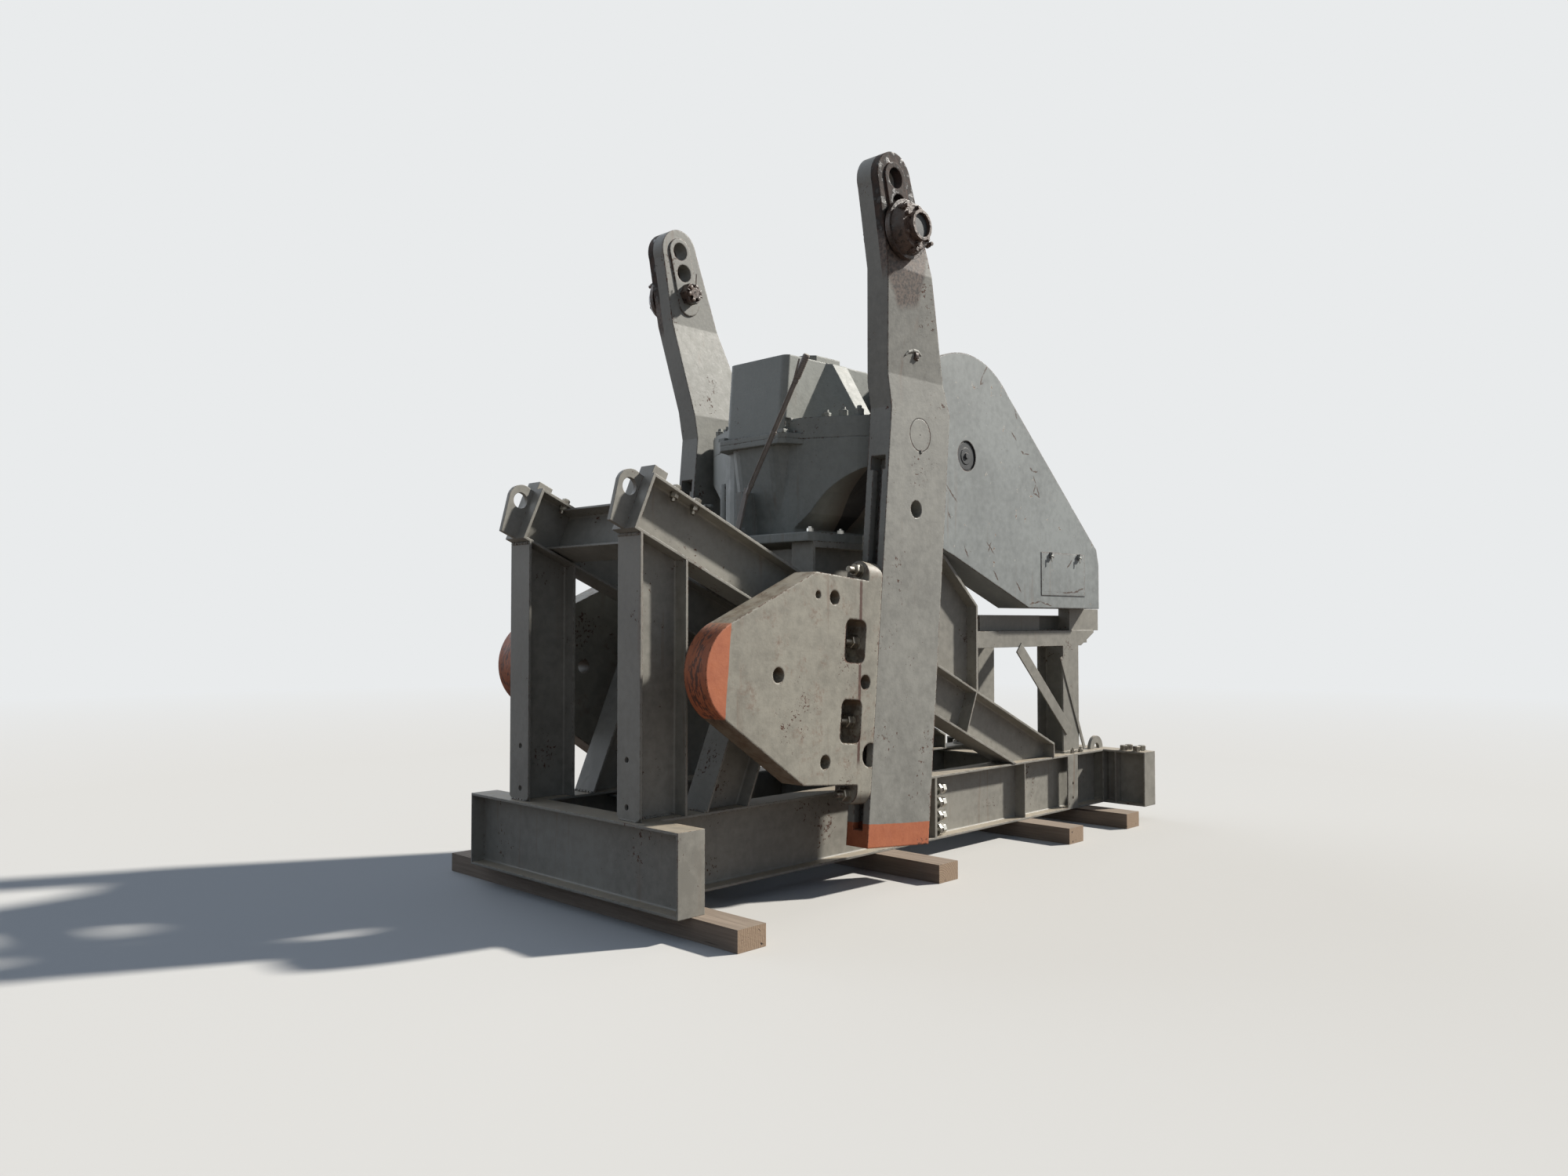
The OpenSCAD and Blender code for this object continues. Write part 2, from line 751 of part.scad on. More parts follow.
// far side counterweight with pockets, holes and round ended ears
module counterweight() {
    y0 = (hub_in + hub_out - cw_t) / 2;
    y1 = y0 + cw_t;
    translate([0, 0, shaft_z]) rotate([0, arm_deg, 0]) difference() {
        translate([-arm_w / 2 - cw_gap, 0, -cw_pos]) union() {
            slab(y0, y1) mirror([1, 0]) cw_outline();
            for (s = [-1, 1]) {
                translate([-ear_t, (y0 + y1) / 2, 0]) rotate([90, 0, 90]) linear_extrude(ear_t) {
                    translate([0, s * (cw_half + ear_h - cw_t / 2)]) circle(cw_t / 2);
                    translate([-cw_t / 2, s > 0 ? cw_half - 5 : -cw_half - ear_h + cw_t / 2])
                        square([cw_t, ear_h - cw_t / 2 + 5]);
                }
            }
        }
        translate([-arm_w / 2, 0, -cw_pos]) {
            for (s = [-1, 1]) {
                slab(y0 + 30, y1 + 9) translate([-cw_pocket_u, s * cw_pocket_at])
                    round_rect(cw_pocket[0], cw_pocket[1], 45);
                slab(y0 - 9, y1 + 9) translate([-444, s * 498]) circle(44);
                for (z = [cw_half + 66, cw_pocket_at]) {
                    translate([-ear_t - 60, (y0 + y1) / 2, s * z]) rotate([0, 90, 0])
                        cylinder(h = ear_t + 70, r = 24);
                }
            }
            slab(y0 - 9, y1 + 9) translate([-26, -cw_notch]) circle(76);
            slab(y0 - 9, y1 + 9) translate([-891, 0]) circle(46);
            slab(y0 - 9, y1 + 9) translate([-112, 0]) circle(46);
            slab(y1 - 70, y1 + 9) translate([-593, 500]) circle(24);
        }
    }
}

module far_counterweight() {
    color(cast_paint) counterweight();
}

module near_counterweight() {
    color(cast_paint) near_of() counterweight();
}

// pin in the third hole with its nut on the inner side
module crank_pin() {
    translate([0, 0, shaft_z]) {
        slab(tip_in - 10, tip_out + 140) translate(pin_at(3)) circle(pin_hole_r - 0.05);
        slab(tip_in - 78, tip_in - 10) translate(pin_at(3)) circle(82, $fn = 6);
        slab(tip_in - 98, tip_in - 77) translate(pin_at(3)) circle(40);
    }
}

module far_crank_pin() {
    color(dark_steel) crank_pin();
}

module near_crank_pin() {
    color(dark_steel) near_of() crank_pin();
}

// bearing housing round the free end of the pin
module pin_housing() {
    p = pin_at(3);
    y0 = tip_out + 14;
    translate([p[0], y0, shaft_z + p[1]]) rotate([-90, 0, 0]) difference() {
        union() {
            cylinder(h = 34, r = 190);
            translate([0, 0, 33]) cylinder(h = 72, r1 = 168, r2 = 140);
            translate([0, 0, 104]) cylinder(h = 46, r = 96);
            for (a = [20, 140, 260]) {
                rotate(a) translate([150, 0, 30]) cylinder(h = 22, r = 24);
            }
        }
        translate([0, 0, -1]) cylinder(h = 128, r = pin_hole_r);
        translate([0, 0, 100]) cylinder(h = 60, r = 76);
    }
}

module far_pin_housing() {
    color(dark_steel) pin_housing();
}

module near_pin_housing() {
    color(dark_steel) near_of() pin_housing();
}

// fast shaft with the driven sheave inside the guard
module input_shaft() {
    color(dark_steel) union() {
        slab(-guard_out + 14, case_half + 200) translate([fast_x, shaft_z]) circle(fast_r);
        slab(-guard_out + 40, -guard_in - 40) translate([fast_x, shaft_z]) difference() {
            circle(sheave_r);
            circle(sheave_r - 50);
        }
        slab(-guard_out + 130, -guard_in - 130) translate([fast_x, shaft_z]) difference() {
            circle(sheave_r - 49);
            for (a = [0 : 60 : 300]) {
                rotate(a + 30) translate([375, 0]) circle(125);
            }
        }
        slab(-guard_out + 24, -guard_in - 20) translate([fast_x, shaft_z]) circle(98);
        slab(case_half + 130, case_half + 200) translate([fast_x, shaft_z]) circle(210);
    }
}

// guard body from y0 to y1, its outline inset by t, cut off in front of the slow shaft bearing
module guard_body(y0, y1, t) {
    r = guard_r - t;
    k = r - 4;
    difference() {
        union() {
            slab(y0, y1) translate([fast_x, shaft_z]) circle(r);
            slab(y0, y1) polygon([[fast_x, shaft_z], [fast_x + 0.652 * k, shaft_z + 0.758 * k],
                [2803 - 0.7 * t, 2424 - 0.8 * t], [2932 - 0.9 * t, 2316 - 0.5 * t], [2968 - t, 2185],
                [2968 - t, guard_low + t], [1858 + 0.2 * t, guard_low + t],
                [fast_x - 0.379 * k, shaft_z - 0.925 * k]]);
        }
        slab(y0 - 9, y1 + 9) translate([0, 2000]) square([guard_front_x + t, 1900]);
    }
}

// flat outer sheet with the inspection hole and the door opening
module guard_outer_sheet() {
    color(paint) near_of() difference() {
        guard_body(guard_out - guard_t, guard_out, 0);
        slab(guard_out - guard_t - 9, guard_out + 9) translate([fast_x, shaft_z]) circle(guard_hole_r);
        slab(guard_out - guard_t - 9, guard_out + 9) translate(door_at) square(door_size);
    }
}

// flat inner sheet with the opening round the fast shaft
module guard_inner_sheet() {
    color(paint) near_of() difference() {
        guard_body(guard_in, guard_in + guard_t, 0);
        slab(guard_in - 9, guard_in + 9 + guard_t) translate([fast_x, shaft_z]) circle(fast_r + 30);
    }
}

// rolled rim between the two sheets
module guard_rim() {
    color(paint) near_of() difference() {
        guard_body(guard_in + guard_t, guard_out - guard_t, 0);
        guard_body(guard_in, guard_out, guard_t);
    }
}

module guard_door() {
    color(paint) near_of() union() {
        slab(guard_out - guard_t, guard_out - 1) translate([door_at[0] + 0.3, door_at[1] + 0.3])
            square([door_size[0] - 0.6, door_size[1] - 0.6]);
        slab(guard_out + 0.3, guard_out + 4) translate([door_at[0] - 12, door_at[1] - 12])
            square([door_size[0] + 24, door_size[1] + 24]);
        slab(guard_out - 2, guard_out + 1) translate([door_at[0] + 20, door_at[1] + 20])
            square([door_size[0] - 40, door_size[1] - 40]);
        for (x = [112, 554]) {
            slab(guard_out + 3, guard_out + 28) translate([door_at[0] + x, door_at[1] + door_size[1] - 34])
                square([34, 46]);
        }
    }
}

// flat steel strip in the XZ plane from a to b, w wide, between y0 and y1
module strip(a, b, w, y0, y1) {
    d = (b - a) / norm(b - a) * w / 2;
    n = [-d[1], d[0]];
    slab(y0, y1) polygon([a + n, b + n, b - n, a - n]);
}

// welded platform: long channels, cross channels, two legs, flat diagonals and the box under the guard
module motor_platform() {
    inner = deck_half - channel_w;
    low = deck_z - deck_depth;
    color(paint) union() {
        for (s = [0, 1]) {
            mirror([0, s, 0]) {
                difference() {
                    translate([deck_front_x, inner, low])
                        cube([deck_rear_x - deck_front_x, channel_w, deck_depth]);
                    translate([deck_front_x - 5, inner - 5, low + 14])
                        cube([deck_rear_x - deck_front_x + 10, channel_w - 5, deck_depth - 28]);
                    slab(inner - 9, deck_half + 9) polygon([[2880, low - 9], [deck_rear_x + 9, low - 9],
                        [deck_rear_x + 9, deck_z - 16]]);
                }
                translate([leg_x + leg_w / 2, inner - leg_w + channel_w, skid_top + 15]) rotate(90)
                    beam_z(low - skid_top - 14, leg_w, leg_w, 14, 9);
                translate([leg_x - 15, deck_half - leg_w - 15, skid_top]) cube([leg_w + 30, leg_w + 30, 16]);
                strip([1906, low - 4], [2670, 770], 100, deck_half - 1, deck_half + 9);
                strip([2556, 1395], [2932, skid_top + 22], 34, deck_half - 1, deck_half + 8);
            }
        }
        for (x = [deck_front_x, 1900, 2700, deck_rear_x - 60]) {
            translate([x, -inner - 2, low + 20]) cube([60, 2 * inner + 4, deck_depth - 20 - rest_gap]);
        }
        difference() {
            translate([2718, -550, deck_z - 1]) cube([490, 106, guard_low - rest_gap - deck_z + 1]);
            translate([2726, -542, deck_z]) cube([474, 150, guard_low - rest_gap - deck_z - 8]);
        }
    }
}

// pair of channels along the platform that the motor slides on
module motor_rail() {
    color(paint) for (i = [0, 1]) {
        translate([rail_x, i == 0 ? 438 : 376, deck_z]) difference() {
            cube([rail_len[i], 63, rail_h]);
            translate([-5, i == 0 ? -5 : 8, 9]) cube([rail_len[i] + 10, 60, rail_h - 18]);
        }
    }
}

module near_motor_rail() {
    near_of() motor_rail();
}

module far_motor_rail() {
    motor_rail();
}

// hand lever before the gear case: a flat link from the pivot to the knee, then a round bar with a grip
module brake_lever() {
    color(dark_steel) translate(lever_at) difference() {
        union() {
            translate([-26, 0, 0]) rotate([0, 90, 0]) cylinder(h = 52, r = 28);
            rotate([90, 0, 90]) translate([0, 0, -9]) linear_extrude(18)
                polygon([[-24, 0], lever_knee + [-21, 12], lever_knee + [17, 18], [24, 0]]);
            translate([0, lever_knee[0], lever_knee[1] - 30]) rotate([lever_deg, 0, 0]) {
                cylinder(h = 880, r = 14);
                translate([0, 0, 870]) cylinder(h = 170, r = 19);
            }
        }
        translate([-40, 0, 0]) rotate([0, 90, 0]) cylinder(h = 80, r = lever_pin_r + run_gap);
    }
}

front_timber();
mid_timber();
rear_timber_a();
rear_timber_b();
near_skid_beam();
far_skid_beam();
front_cross_beam();
rear_cross_beam();
front_tie();
middle_tie();
rear_tie();
near_front_post();
far_front_post();
near_ramp_beam();
far_ramp_beam();
upper_cross_beam();
near_strut();
far_strut();
near_pedestal_side();
far_pedestal_side();
pedestal_front_wall();
pedestal_rear_wall();
gear_case_lower();
gear_case_cover();
gear_case_hatch();
guard_outer_sheet();
guard_inner_sheet();
guard_rim();
guard_door();
motor_platform();
near_motor_rail();
far_motor_rail();
brake_lever();
crankshaft();
near_crank();
far_crank();
near_counterweight();
far_counterweight();
near_crank_pin();
far_crank_pin();
near_pin_housing();
far_pin_housing();
input_shaft();
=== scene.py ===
import bpy
import bmesh
import math
from mathutils import Matrix, Vector


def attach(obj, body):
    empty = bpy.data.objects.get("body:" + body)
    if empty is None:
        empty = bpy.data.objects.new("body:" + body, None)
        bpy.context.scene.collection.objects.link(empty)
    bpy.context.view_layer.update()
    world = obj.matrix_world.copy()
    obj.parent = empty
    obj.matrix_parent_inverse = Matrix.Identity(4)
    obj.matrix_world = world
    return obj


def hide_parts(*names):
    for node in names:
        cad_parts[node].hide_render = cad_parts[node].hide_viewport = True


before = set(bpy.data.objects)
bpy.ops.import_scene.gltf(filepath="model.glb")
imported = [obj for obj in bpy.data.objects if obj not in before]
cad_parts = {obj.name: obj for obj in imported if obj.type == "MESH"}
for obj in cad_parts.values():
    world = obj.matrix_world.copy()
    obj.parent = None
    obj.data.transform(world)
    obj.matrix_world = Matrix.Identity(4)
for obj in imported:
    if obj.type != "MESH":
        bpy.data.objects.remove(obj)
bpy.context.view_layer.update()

# Camera: a wide phone lens at eye height off the front corner of the skid,
# turned 44 degrees from the long axis and tipped up by less than 2 degrees.
lens = bpy.data.cameras.new("camera")
lens.lens = 26.39
lens.sensor_width = 36.0
camera = bpy.data.objects.new("camera", lens)
bpy.context.collection.objects.link(camera)
yaw, pitch = math.radians(44.184), math.radians(1.677)
forward = Vector((math.cos(yaw) * math.cos(pitch), math.sin(yaw) * math.cos(pitch), math.sin(pitch)))
camera.matrix_world = (Matrix.Translation((-6.0898, -5.6873, 1.6974))
                       @ forward.to_track_quat("-Z", "Y").to_matrix().to_4x4())
bpy.context.scene.camera = camera


# Floor and light: a pale studio floor that fades into a pale backdrop, a faintly warm
# sun lamp 37 degrees up, to the right of the camera and beyond the unit, and sky fill.
def linear(hex_colour):
    channels = [int(hex_colour[i:i + 2], 16) / 255 for i in (1, 3, 5)]
    return [c / 12.92 if c <= 0.04045 else ((c + 0.055) / 1.055) ** 2.4 for c in channels] + [1.0]


# adds a node with its settings and inputs: an input is a plain value, a socket to link,
# or a node, whose first live output is linked
def node(tree, kind, inputs=None, **settings):
    made = tree.nodes.new(kind)
    for key, value in settings.items():
        setattr(made, key, value)
    for key, value in (inputs or {}).items():
        if isinstance(value, bpy.types.Node):
            value = next(socket for socket in value.outputs if socket.enabled)
        if isinstance(value, bpy.types.NodeSocket):
            tree.links.new(value, made.inputs[key])
        else:
            made.inputs[key].default_value = value
    return made


def blank_material(name):
    material = bpy.data.materials.new(name)
    material.use_nodes = True
    material.node_tree.nodes.clear()
    return material, material.node_tree


scene = bpy.context.scene
scene.view_settings.view_transform = "Standard"
BACKDROP = linear("#e9ebec")
floor_paint, tree = blank_material("studio_floor")
# seen from the camera, the floor fades into the backdrop between 8 and 24 m out
place = node(tree, "ShaderNodeTexCoord").outputs["Object"]
reach = node(tree, "ShaderNodeVectorMath", {0: place}, operation="LENGTH")
fade = node(tree, "ShaderNodeMapRange", {"Value": reach, "From Min": 8.0, "From Max": 24.0})
rays = node(tree, "ShaderNodeLightPath")
seen = node(tree, "ShaderNodeMath", {0: fade, 1: rays.outputs["Is Camera Ray"]}, operation="MULTIPLY")
# the floor throws the lamp back dull and dark, and the camera sees it pale
matt = node(tree, "ShaderNodeMix", {"Factor": rays.outputs["Is Camera Ray"], 6: linear("#7d7570"),
                                    7: linear("#bdbcb9")}, data_type="RGBA")
matt = node(tree, "ShaderNodeBsdfDiffuse", {"Color": matt})
glow = node(tree, "ShaderNodeEmission", {"Color": BACKDROP, "Strength": 1.0})
blend = node(tree, "ShaderNodeMixShader", {0: seen, 1: matt, 2: glow})
node(tree, "ShaderNodeOutputMaterial", {"Surface": blend})
bm = bmesh.new()
bmesh.ops.create_circle(bm, cap_ends=True, segments=64, radius=60.0)
floor_mesh = bpy.data.meshes.new("floor")
bm.to_mesh(floor_mesh)
bm.free()
floor_mesh.materials.append(floor_paint)
floor_mesh.transform(Matrix.Translation((0, 0, -0.001)))
floor = bpy.data.objects.new("floor", floor_mesh)
bpy.context.collection.objects.link(floor)

world = bpy.data.worlds.new("studio")
scene.world = world
world.use_nodes = True
tree = world.node_tree
tree.nodes.clear()
rays = node(tree, "ShaderNodeLightPath").outputs
shown = node(tree, "ShaderNodeMath", {0: rays["Is Camera Ray"], 1: rays["Is Glossy Ray"]},
             operation="MAXIMUM")
shown = node(tree, "ShaderNodeMath", {0: shown, 1: rays["Is Transmission Ray"]}, operation="MAXIMUM")
fill = node(tree, "ShaderNodeBackground", {"Color": linear("#cbe1ff"), "Strength": 0.27})
back = node(tree, "ShaderNodeBackground", {"Color": BACKDROP, "Strength": 1.0})
blend = node(tree, "ShaderNodeMixShader", {0: shown, 1: fill, 2: back})
node(tree, "ShaderNodeOutputWorld", {"Surface": blend})


def sun(name, strength, spread, tone, heading):
    lamp = bpy.data.lights.new(name, "SUN")
    lamp.energy = strength
    lamp.angle = math.radians(spread)
    lamp.color = linear(tone)[:3]
    held = bpy.data.objects.new(name, lamp)
    held.matrix_world = Vector(heading).to_track_quat("-Z", "Y").to_matrix().to_4x4()
    bpy.context.collection.objects.link(held)


sun("key", 6.5, 3, "#fffaf2", (-0.71, 0.37, -0.60))
# a weak wide lamp that opens the shaded back and leaves the front as it is
sun("rear", 1.3, 60, "#dfe8f5", (0.0, -0.93, -0.36))

# Weathered machine enamel on rolled steel and on rough castings: a khaki grey,
# sun-bleached in blotches, dusty on top, chipped to brown rust along its edges
# and stained by thin runs of rust. Castings are coarser under the same coat.
RUST = linear("#5d3a2a")
DARK_RUST = linear("#38261f")
DUST = linear("#a8977e")


def coat(tree, colour, rough, relief, metal=0.0):
    skin = node(tree, "ShaderNodeBsdfPrincipled", {"Base Color": colour, "Roughness": rough,
                                                   "Metallic": metal, "Normal": relief})
    node(tree, "ShaderNodeOutputMaterial", {"Surface": skin})


# grain: scale of the surface texture, and pits: its depth; worn: how much is chipped;
# edge: width of the rounded and worn edges; bare_edge: extra wear along them
def enamel(name, tone, grain, pits, worn, marks=None, edge=0.006, bare_edge=1.0):
    paint, tree = blank_material(name)
    place = node(tree, "ShaderNodeTexCoord").outputs["Object"]
    shape = node(tree, "ShaderNodeNewGeometry")
    soft = node(tree, "ShaderNodeBevel", {"Radius": edge}, samples=6)
    # faded blotches about 700 mm across and a finer mottle of 60 mm
    broad = node(tree, "ShaderNodeTexNoise", {"Vector": place, "Scale": 1.4, "Detail": 4.0,
                                              "Roughness": 0.55})
    mottle = node(tree, "ShaderNodeTexNoise", {"Vector": place, "Scale": 16.0, "Detail": 6.0,
                                               "Roughness": 0.65})
    shade = node(tree, "ShaderNodeMath", {0: broad, 1: mottle}, operation="ADD")
    shade = node(tree, "ShaderNodeMapRange", {"Value": shade, "From Min": 0.8, "From Max": 1.2})
    dark = [c * 0.80 for c in linear(tone)[:3]] + [1.0]
    pale = [min(1.0, c * 1.14) for c in linear(tone)[:3]] + [1.0]
    colour = node(tree, "ShaderNodeMix", {"Factor": shade, 6: dark, 7: pale}, data_type="RGBA")
    rough = node(tree, "ShaderNodeMapRange", {"Value": mottle, "From Min": 0.3, "From Max": 0.7,
                                              "To Min": 0.48, "To Max": 0.68})
    height = 0.0
    if marks:
        colour, rough, height = marks(tree, place, shape, colour, rough)
    # vertical runs of rust water, 30 mm wide and up to a metre long, in a few zones
    column = node(tree, "ShaderNodeMapping", {"Vector": place, "Scale": (16.0, 16.0, 0.9)})
    runs = node(tree, "ShaderNodeTexNoise", {"Vector": column, "Scale": 1.0, "Detail": 5.0, "Roughness": 0.6})
    runs = node(tree, "ShaderNodeMapRange", {"Value": runs, "From Min": 0.60, "From Max": 0.74})
    zone = node(tree, "ShaderNodeTexNoise", {"Vector": place, "Scale": 0.9, "Detail": 2.0, "Roughness": 0.5})
    zone = node(tree, "ShaderNodeMapRange", {"Value": zone, "From Min": 0.46, "From Max": 0.60,
                                             "To Max": 0.55})
    runs = node(tree, "ShaderNodeMath", {0: runs, 1: zone}, operation="MULTIPLY")
    colour = node(tree, "ShaderNodeMix", {"Factor": runs, 6: colour, 7: linear("#6f5340")}, data_type="RGBA")
    # chips of 4 to 25 mm: everywhere a few, thick along edges
    patch = node(tree, "ShaderNodeTexNoise", {"Vector": place, "Scale": 3.2, "Detail": 3.0, "Roughness": 0.5})
    patch = node(tree, "ShaderNodeMapRange", {"Value": patch, "From Min": 0.50, "From Max": 0.72,
                                              "To Max": 0.16 * worn})
    rim = node(tree, "ShaderNodeVectorMath", {0: soft, 1: shape.outputs["Normal"]}, operation="DOT_PRODUCT")
    rim = node(tree, "ShaderNodeMapRange", {"Value": rim, "From Min": 0.995, "From Max": 0.90,
                                            "To Max": 0.17 * worn * bare_edge})
    chip = node(tree, "ShaderNodeTexNoise", {"Vector": place, "Scale": 42.0, "Detail": 5.0, "Roughness": 0.7})
    lift = node(tree, "ShaderNodeMath", {0: patch, 1: rim}, operation="ADD")
    chip = node(tree, "ShaderNodeMath", {0: lift, 1: chip}, operation="ADD")
    chip = node(tree, "ShaderNodeMapRange", {"Value": chip, "From Min": 0.705, "From Max": 0.735})
    bare = node(tree, "ShaderNodeMix", {"Factor": mottle, 6: DARK_RUST, 7: RUST}, data_type="RGBA")
    colour = node(tree, "ShaderNodeMix", {"Factor": chip, 6: colour, 7: bare}, data_type="RGBA")
    rough = node(tree, "ShaderNodeMix", {"Factor": chip, 2: rough, 3: 0.9})
    # dust lies on what faces up
    up = node(tree, "ShaderNodeSeparateXYZ", {0: shape.outputs["Normal"]}).outputs["Z"]
    dust = node(tree, "ShaderNodeMapRange", {"Value": up, "From Min": 0.75, "From Max": 0.98, "To Max": 0.8})
    dust = node(tree, "ShaderNodeMath", {0: dust, 1: mottle}, operation="MULTIPLY")
    colour = node(tree, "ShaderNodeMix", {"Factor": dust, 6: colour, 7: DUST}, data_type="RGBA")
    # sand texture of the casting or brush marks of the coat, then the chips sunk into it
    skin = node(tree, "ShaderNodeTexNoise", {"Vector": place, "Scale": grain, "Detail": 4.0,
                                             "Roughness": 0.6})
    skin = node(tree, "ShaderNodeMath", {0: skin, 1: pits}, operation="MULTIPLY")
    skin = node(tree, "ShaderNodeMath", {0: skin, 1: chip}, operation="SUBTRACT")
    skin = node(tree, "ShaderNodeMath", {0: skin, 1: height}, operation="ADD")
    relief = node(tree, "ShaderNodeBump", {"Height": skin, "Distance": 0.0012, "Strength": 0.6,
                                           "Normal": soft})
    coat(tree, colour, rough, relief)
    return paint


def dress(material, *names):
    for name in names:
        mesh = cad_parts[name].data
        mesh.materials.clear()
        mesh.materials.append(material)


frame_enamel = enamel("frame_enamel", "#84827a", 120.0, 0.5, 1.0)
dress(frame_enamel, "near_skid_beam", "far_skid_beam", "front_cross_beam", "rear_cross_beam", "front_tie",
      "middle_tie", "rear_tie", "near_front_post", "far_front_post", "near_ramp_beam", "far_ramp_beam",
      "upper_cross_beam", "near_strut", "far_strut", "near_pedestal_side", "far_pedestal_side",
      "pedestal_front_wall", "pedestal_rear_wall", "motor_platform", "near_motor_rail", "far_motor_rail")


# Reducer housing: the coarse coat of the castings, with a black patch of painted shade under each shaft
# bearing for the hollow between the two walls of the real one, and brown painted shade round it.
def case_shade_paint(tree, place, shape, colour, rough):
    at = node(tree, "ShaderNodeSeparateXYZ", {0: place}).outputs
    side = node(tree, "ShaderNodeMath", {0: at["Y"]}, operation="ABSOLUTE")
    off = node(tree, "ShaderNodeMath", {0: at["X"]}, operation="ABSOLUTE")
    # inside the black patch, whose width grows by 0.30 with each step outwards
    wall = node(tree, "ShaderNodeMath", {0: side, 1: 0.30, 2: -0.035}, operation="MULTIPLY_ADD")
    wall = node(tree, "ShaderNodeMath", {0: wall, 1: off}, operation="SUBTRACT")
    # on what faces down, outside the wall of the case and below the bearing
    down = node(tree, "ShaderNodeSeparateXYZ", {0: shape.outputs["True Normal"]}).outputs["Z"]
    down = node(tree, "ShaderNodeMapRange", {"Value": down, "From Min": -0.10, "From Max": -0.20})
    outside = node(tree, "ShaderNodeMapRange", {"Value": side, "From Min": 0.309, "From Max": 0.313})
    below = node(tree, "ShaderNodeMapRange", {"Value": at["Z"], "From Min": 2.80, "From Max": 2.79})
    shaded_underside = node(tree, "ShaderNodeMath", {0: down, 1: outside}, operation="MULTIPLY")
    shaded_underside = node(tree, "ShaderNodeMath", {0: shaded_underside, 1: below}, operation="MULTIPLY")
    # painted shade: black where the hollow between the walls would be
    painted_hollow = node(tree, "ShaderNodeMapRange", {"Value": wall, "From Min": -0.006, "From Max": 0.006})
    painted_hollow = node(tree, "ShaderNodeMath", {0: shaded_underside, 1: painted_hollow}, operation="MULTIPLY")
    # painted shade, brown, fading out from the black patch over the underside
    brown_painted_shade = node(tree, "ShaderNodeMapRange", {"Value": wall, "From Min": -0.20, "From Max": -0.02,
                                             "To Max": 0.72})
    brown_painted_shade = node(tree, "ShaderNodeMath", {0: shaded_underside, 1: brown_painted_shade}, operation="MULTIPLY")
    colour = node(tree, "ShaderNodeMix", {"Factor": brown_painted_shade, 6: colour, 7: linear("#4a3a30")}, data_type="RGBA")
    colour = node(tree, "ShaderNodeMix", {"Factor": painted_hollow, 6: colour, 7: linear("#121214")},
                  data_type="RGBA")
    return colour, rough, 0.0


case_enamel = enamel("case_enamel", "#7f827d", 55.0, 1.4, 0.7, case_shade_paint, 0.014)
dress(case_enamel, "gear_case_lower", "gear_case_cover", "gear_case_hatch")

# Belt guard: thin sheet under the same enamel, scratched to rust by slings on its
# outer side and knocked bare along its edges. Each scratch has the x and z of its
# middle, half its length and its lean in degrees.
SCRATCHES = ((1.26, 3.62, 0.050, 128), (1.21, 3.54, 0.048, 115), (1.21, 3.51, 0.028, -30),
             (1.68, 3.34, 0.043, 73), (1.65, 3.16, 0.049, 34), (1.78, 3.04, 0.034, 26),
             (1.84, 3.04, 0.034, -12), (1.90, 2.92, 0.025, 29), (1.96, 2.91, 0.036, -1),
             (1.95, 2.84, 0.037, 58), (1.95, 2.77, 0.040, 117), (1.98, 2.72, 0.052, 18),
             (2.00, 2.75, 0.049, -120), (0.82, 2.64, 0.088, 42), (1.00, 2.22, 0.053, 60),
             (1.32, 2.26, 0.068, 40), (1.31, 2.27, 0.043, 122), (1.39, 2.05, 0.055, 48),
             (1.71, 1.97, 0.056, 50), (2.48, 2.18, 0.055, -40), (2.45, 1.94, 0.085, -2),
             (2.62, 1.96, 0.090, -13), (1.95, 1.85, 0.091, -10), (2.12, 1.84, 0.083, 14),
             (0.79, 2.48, 0.034, 57))


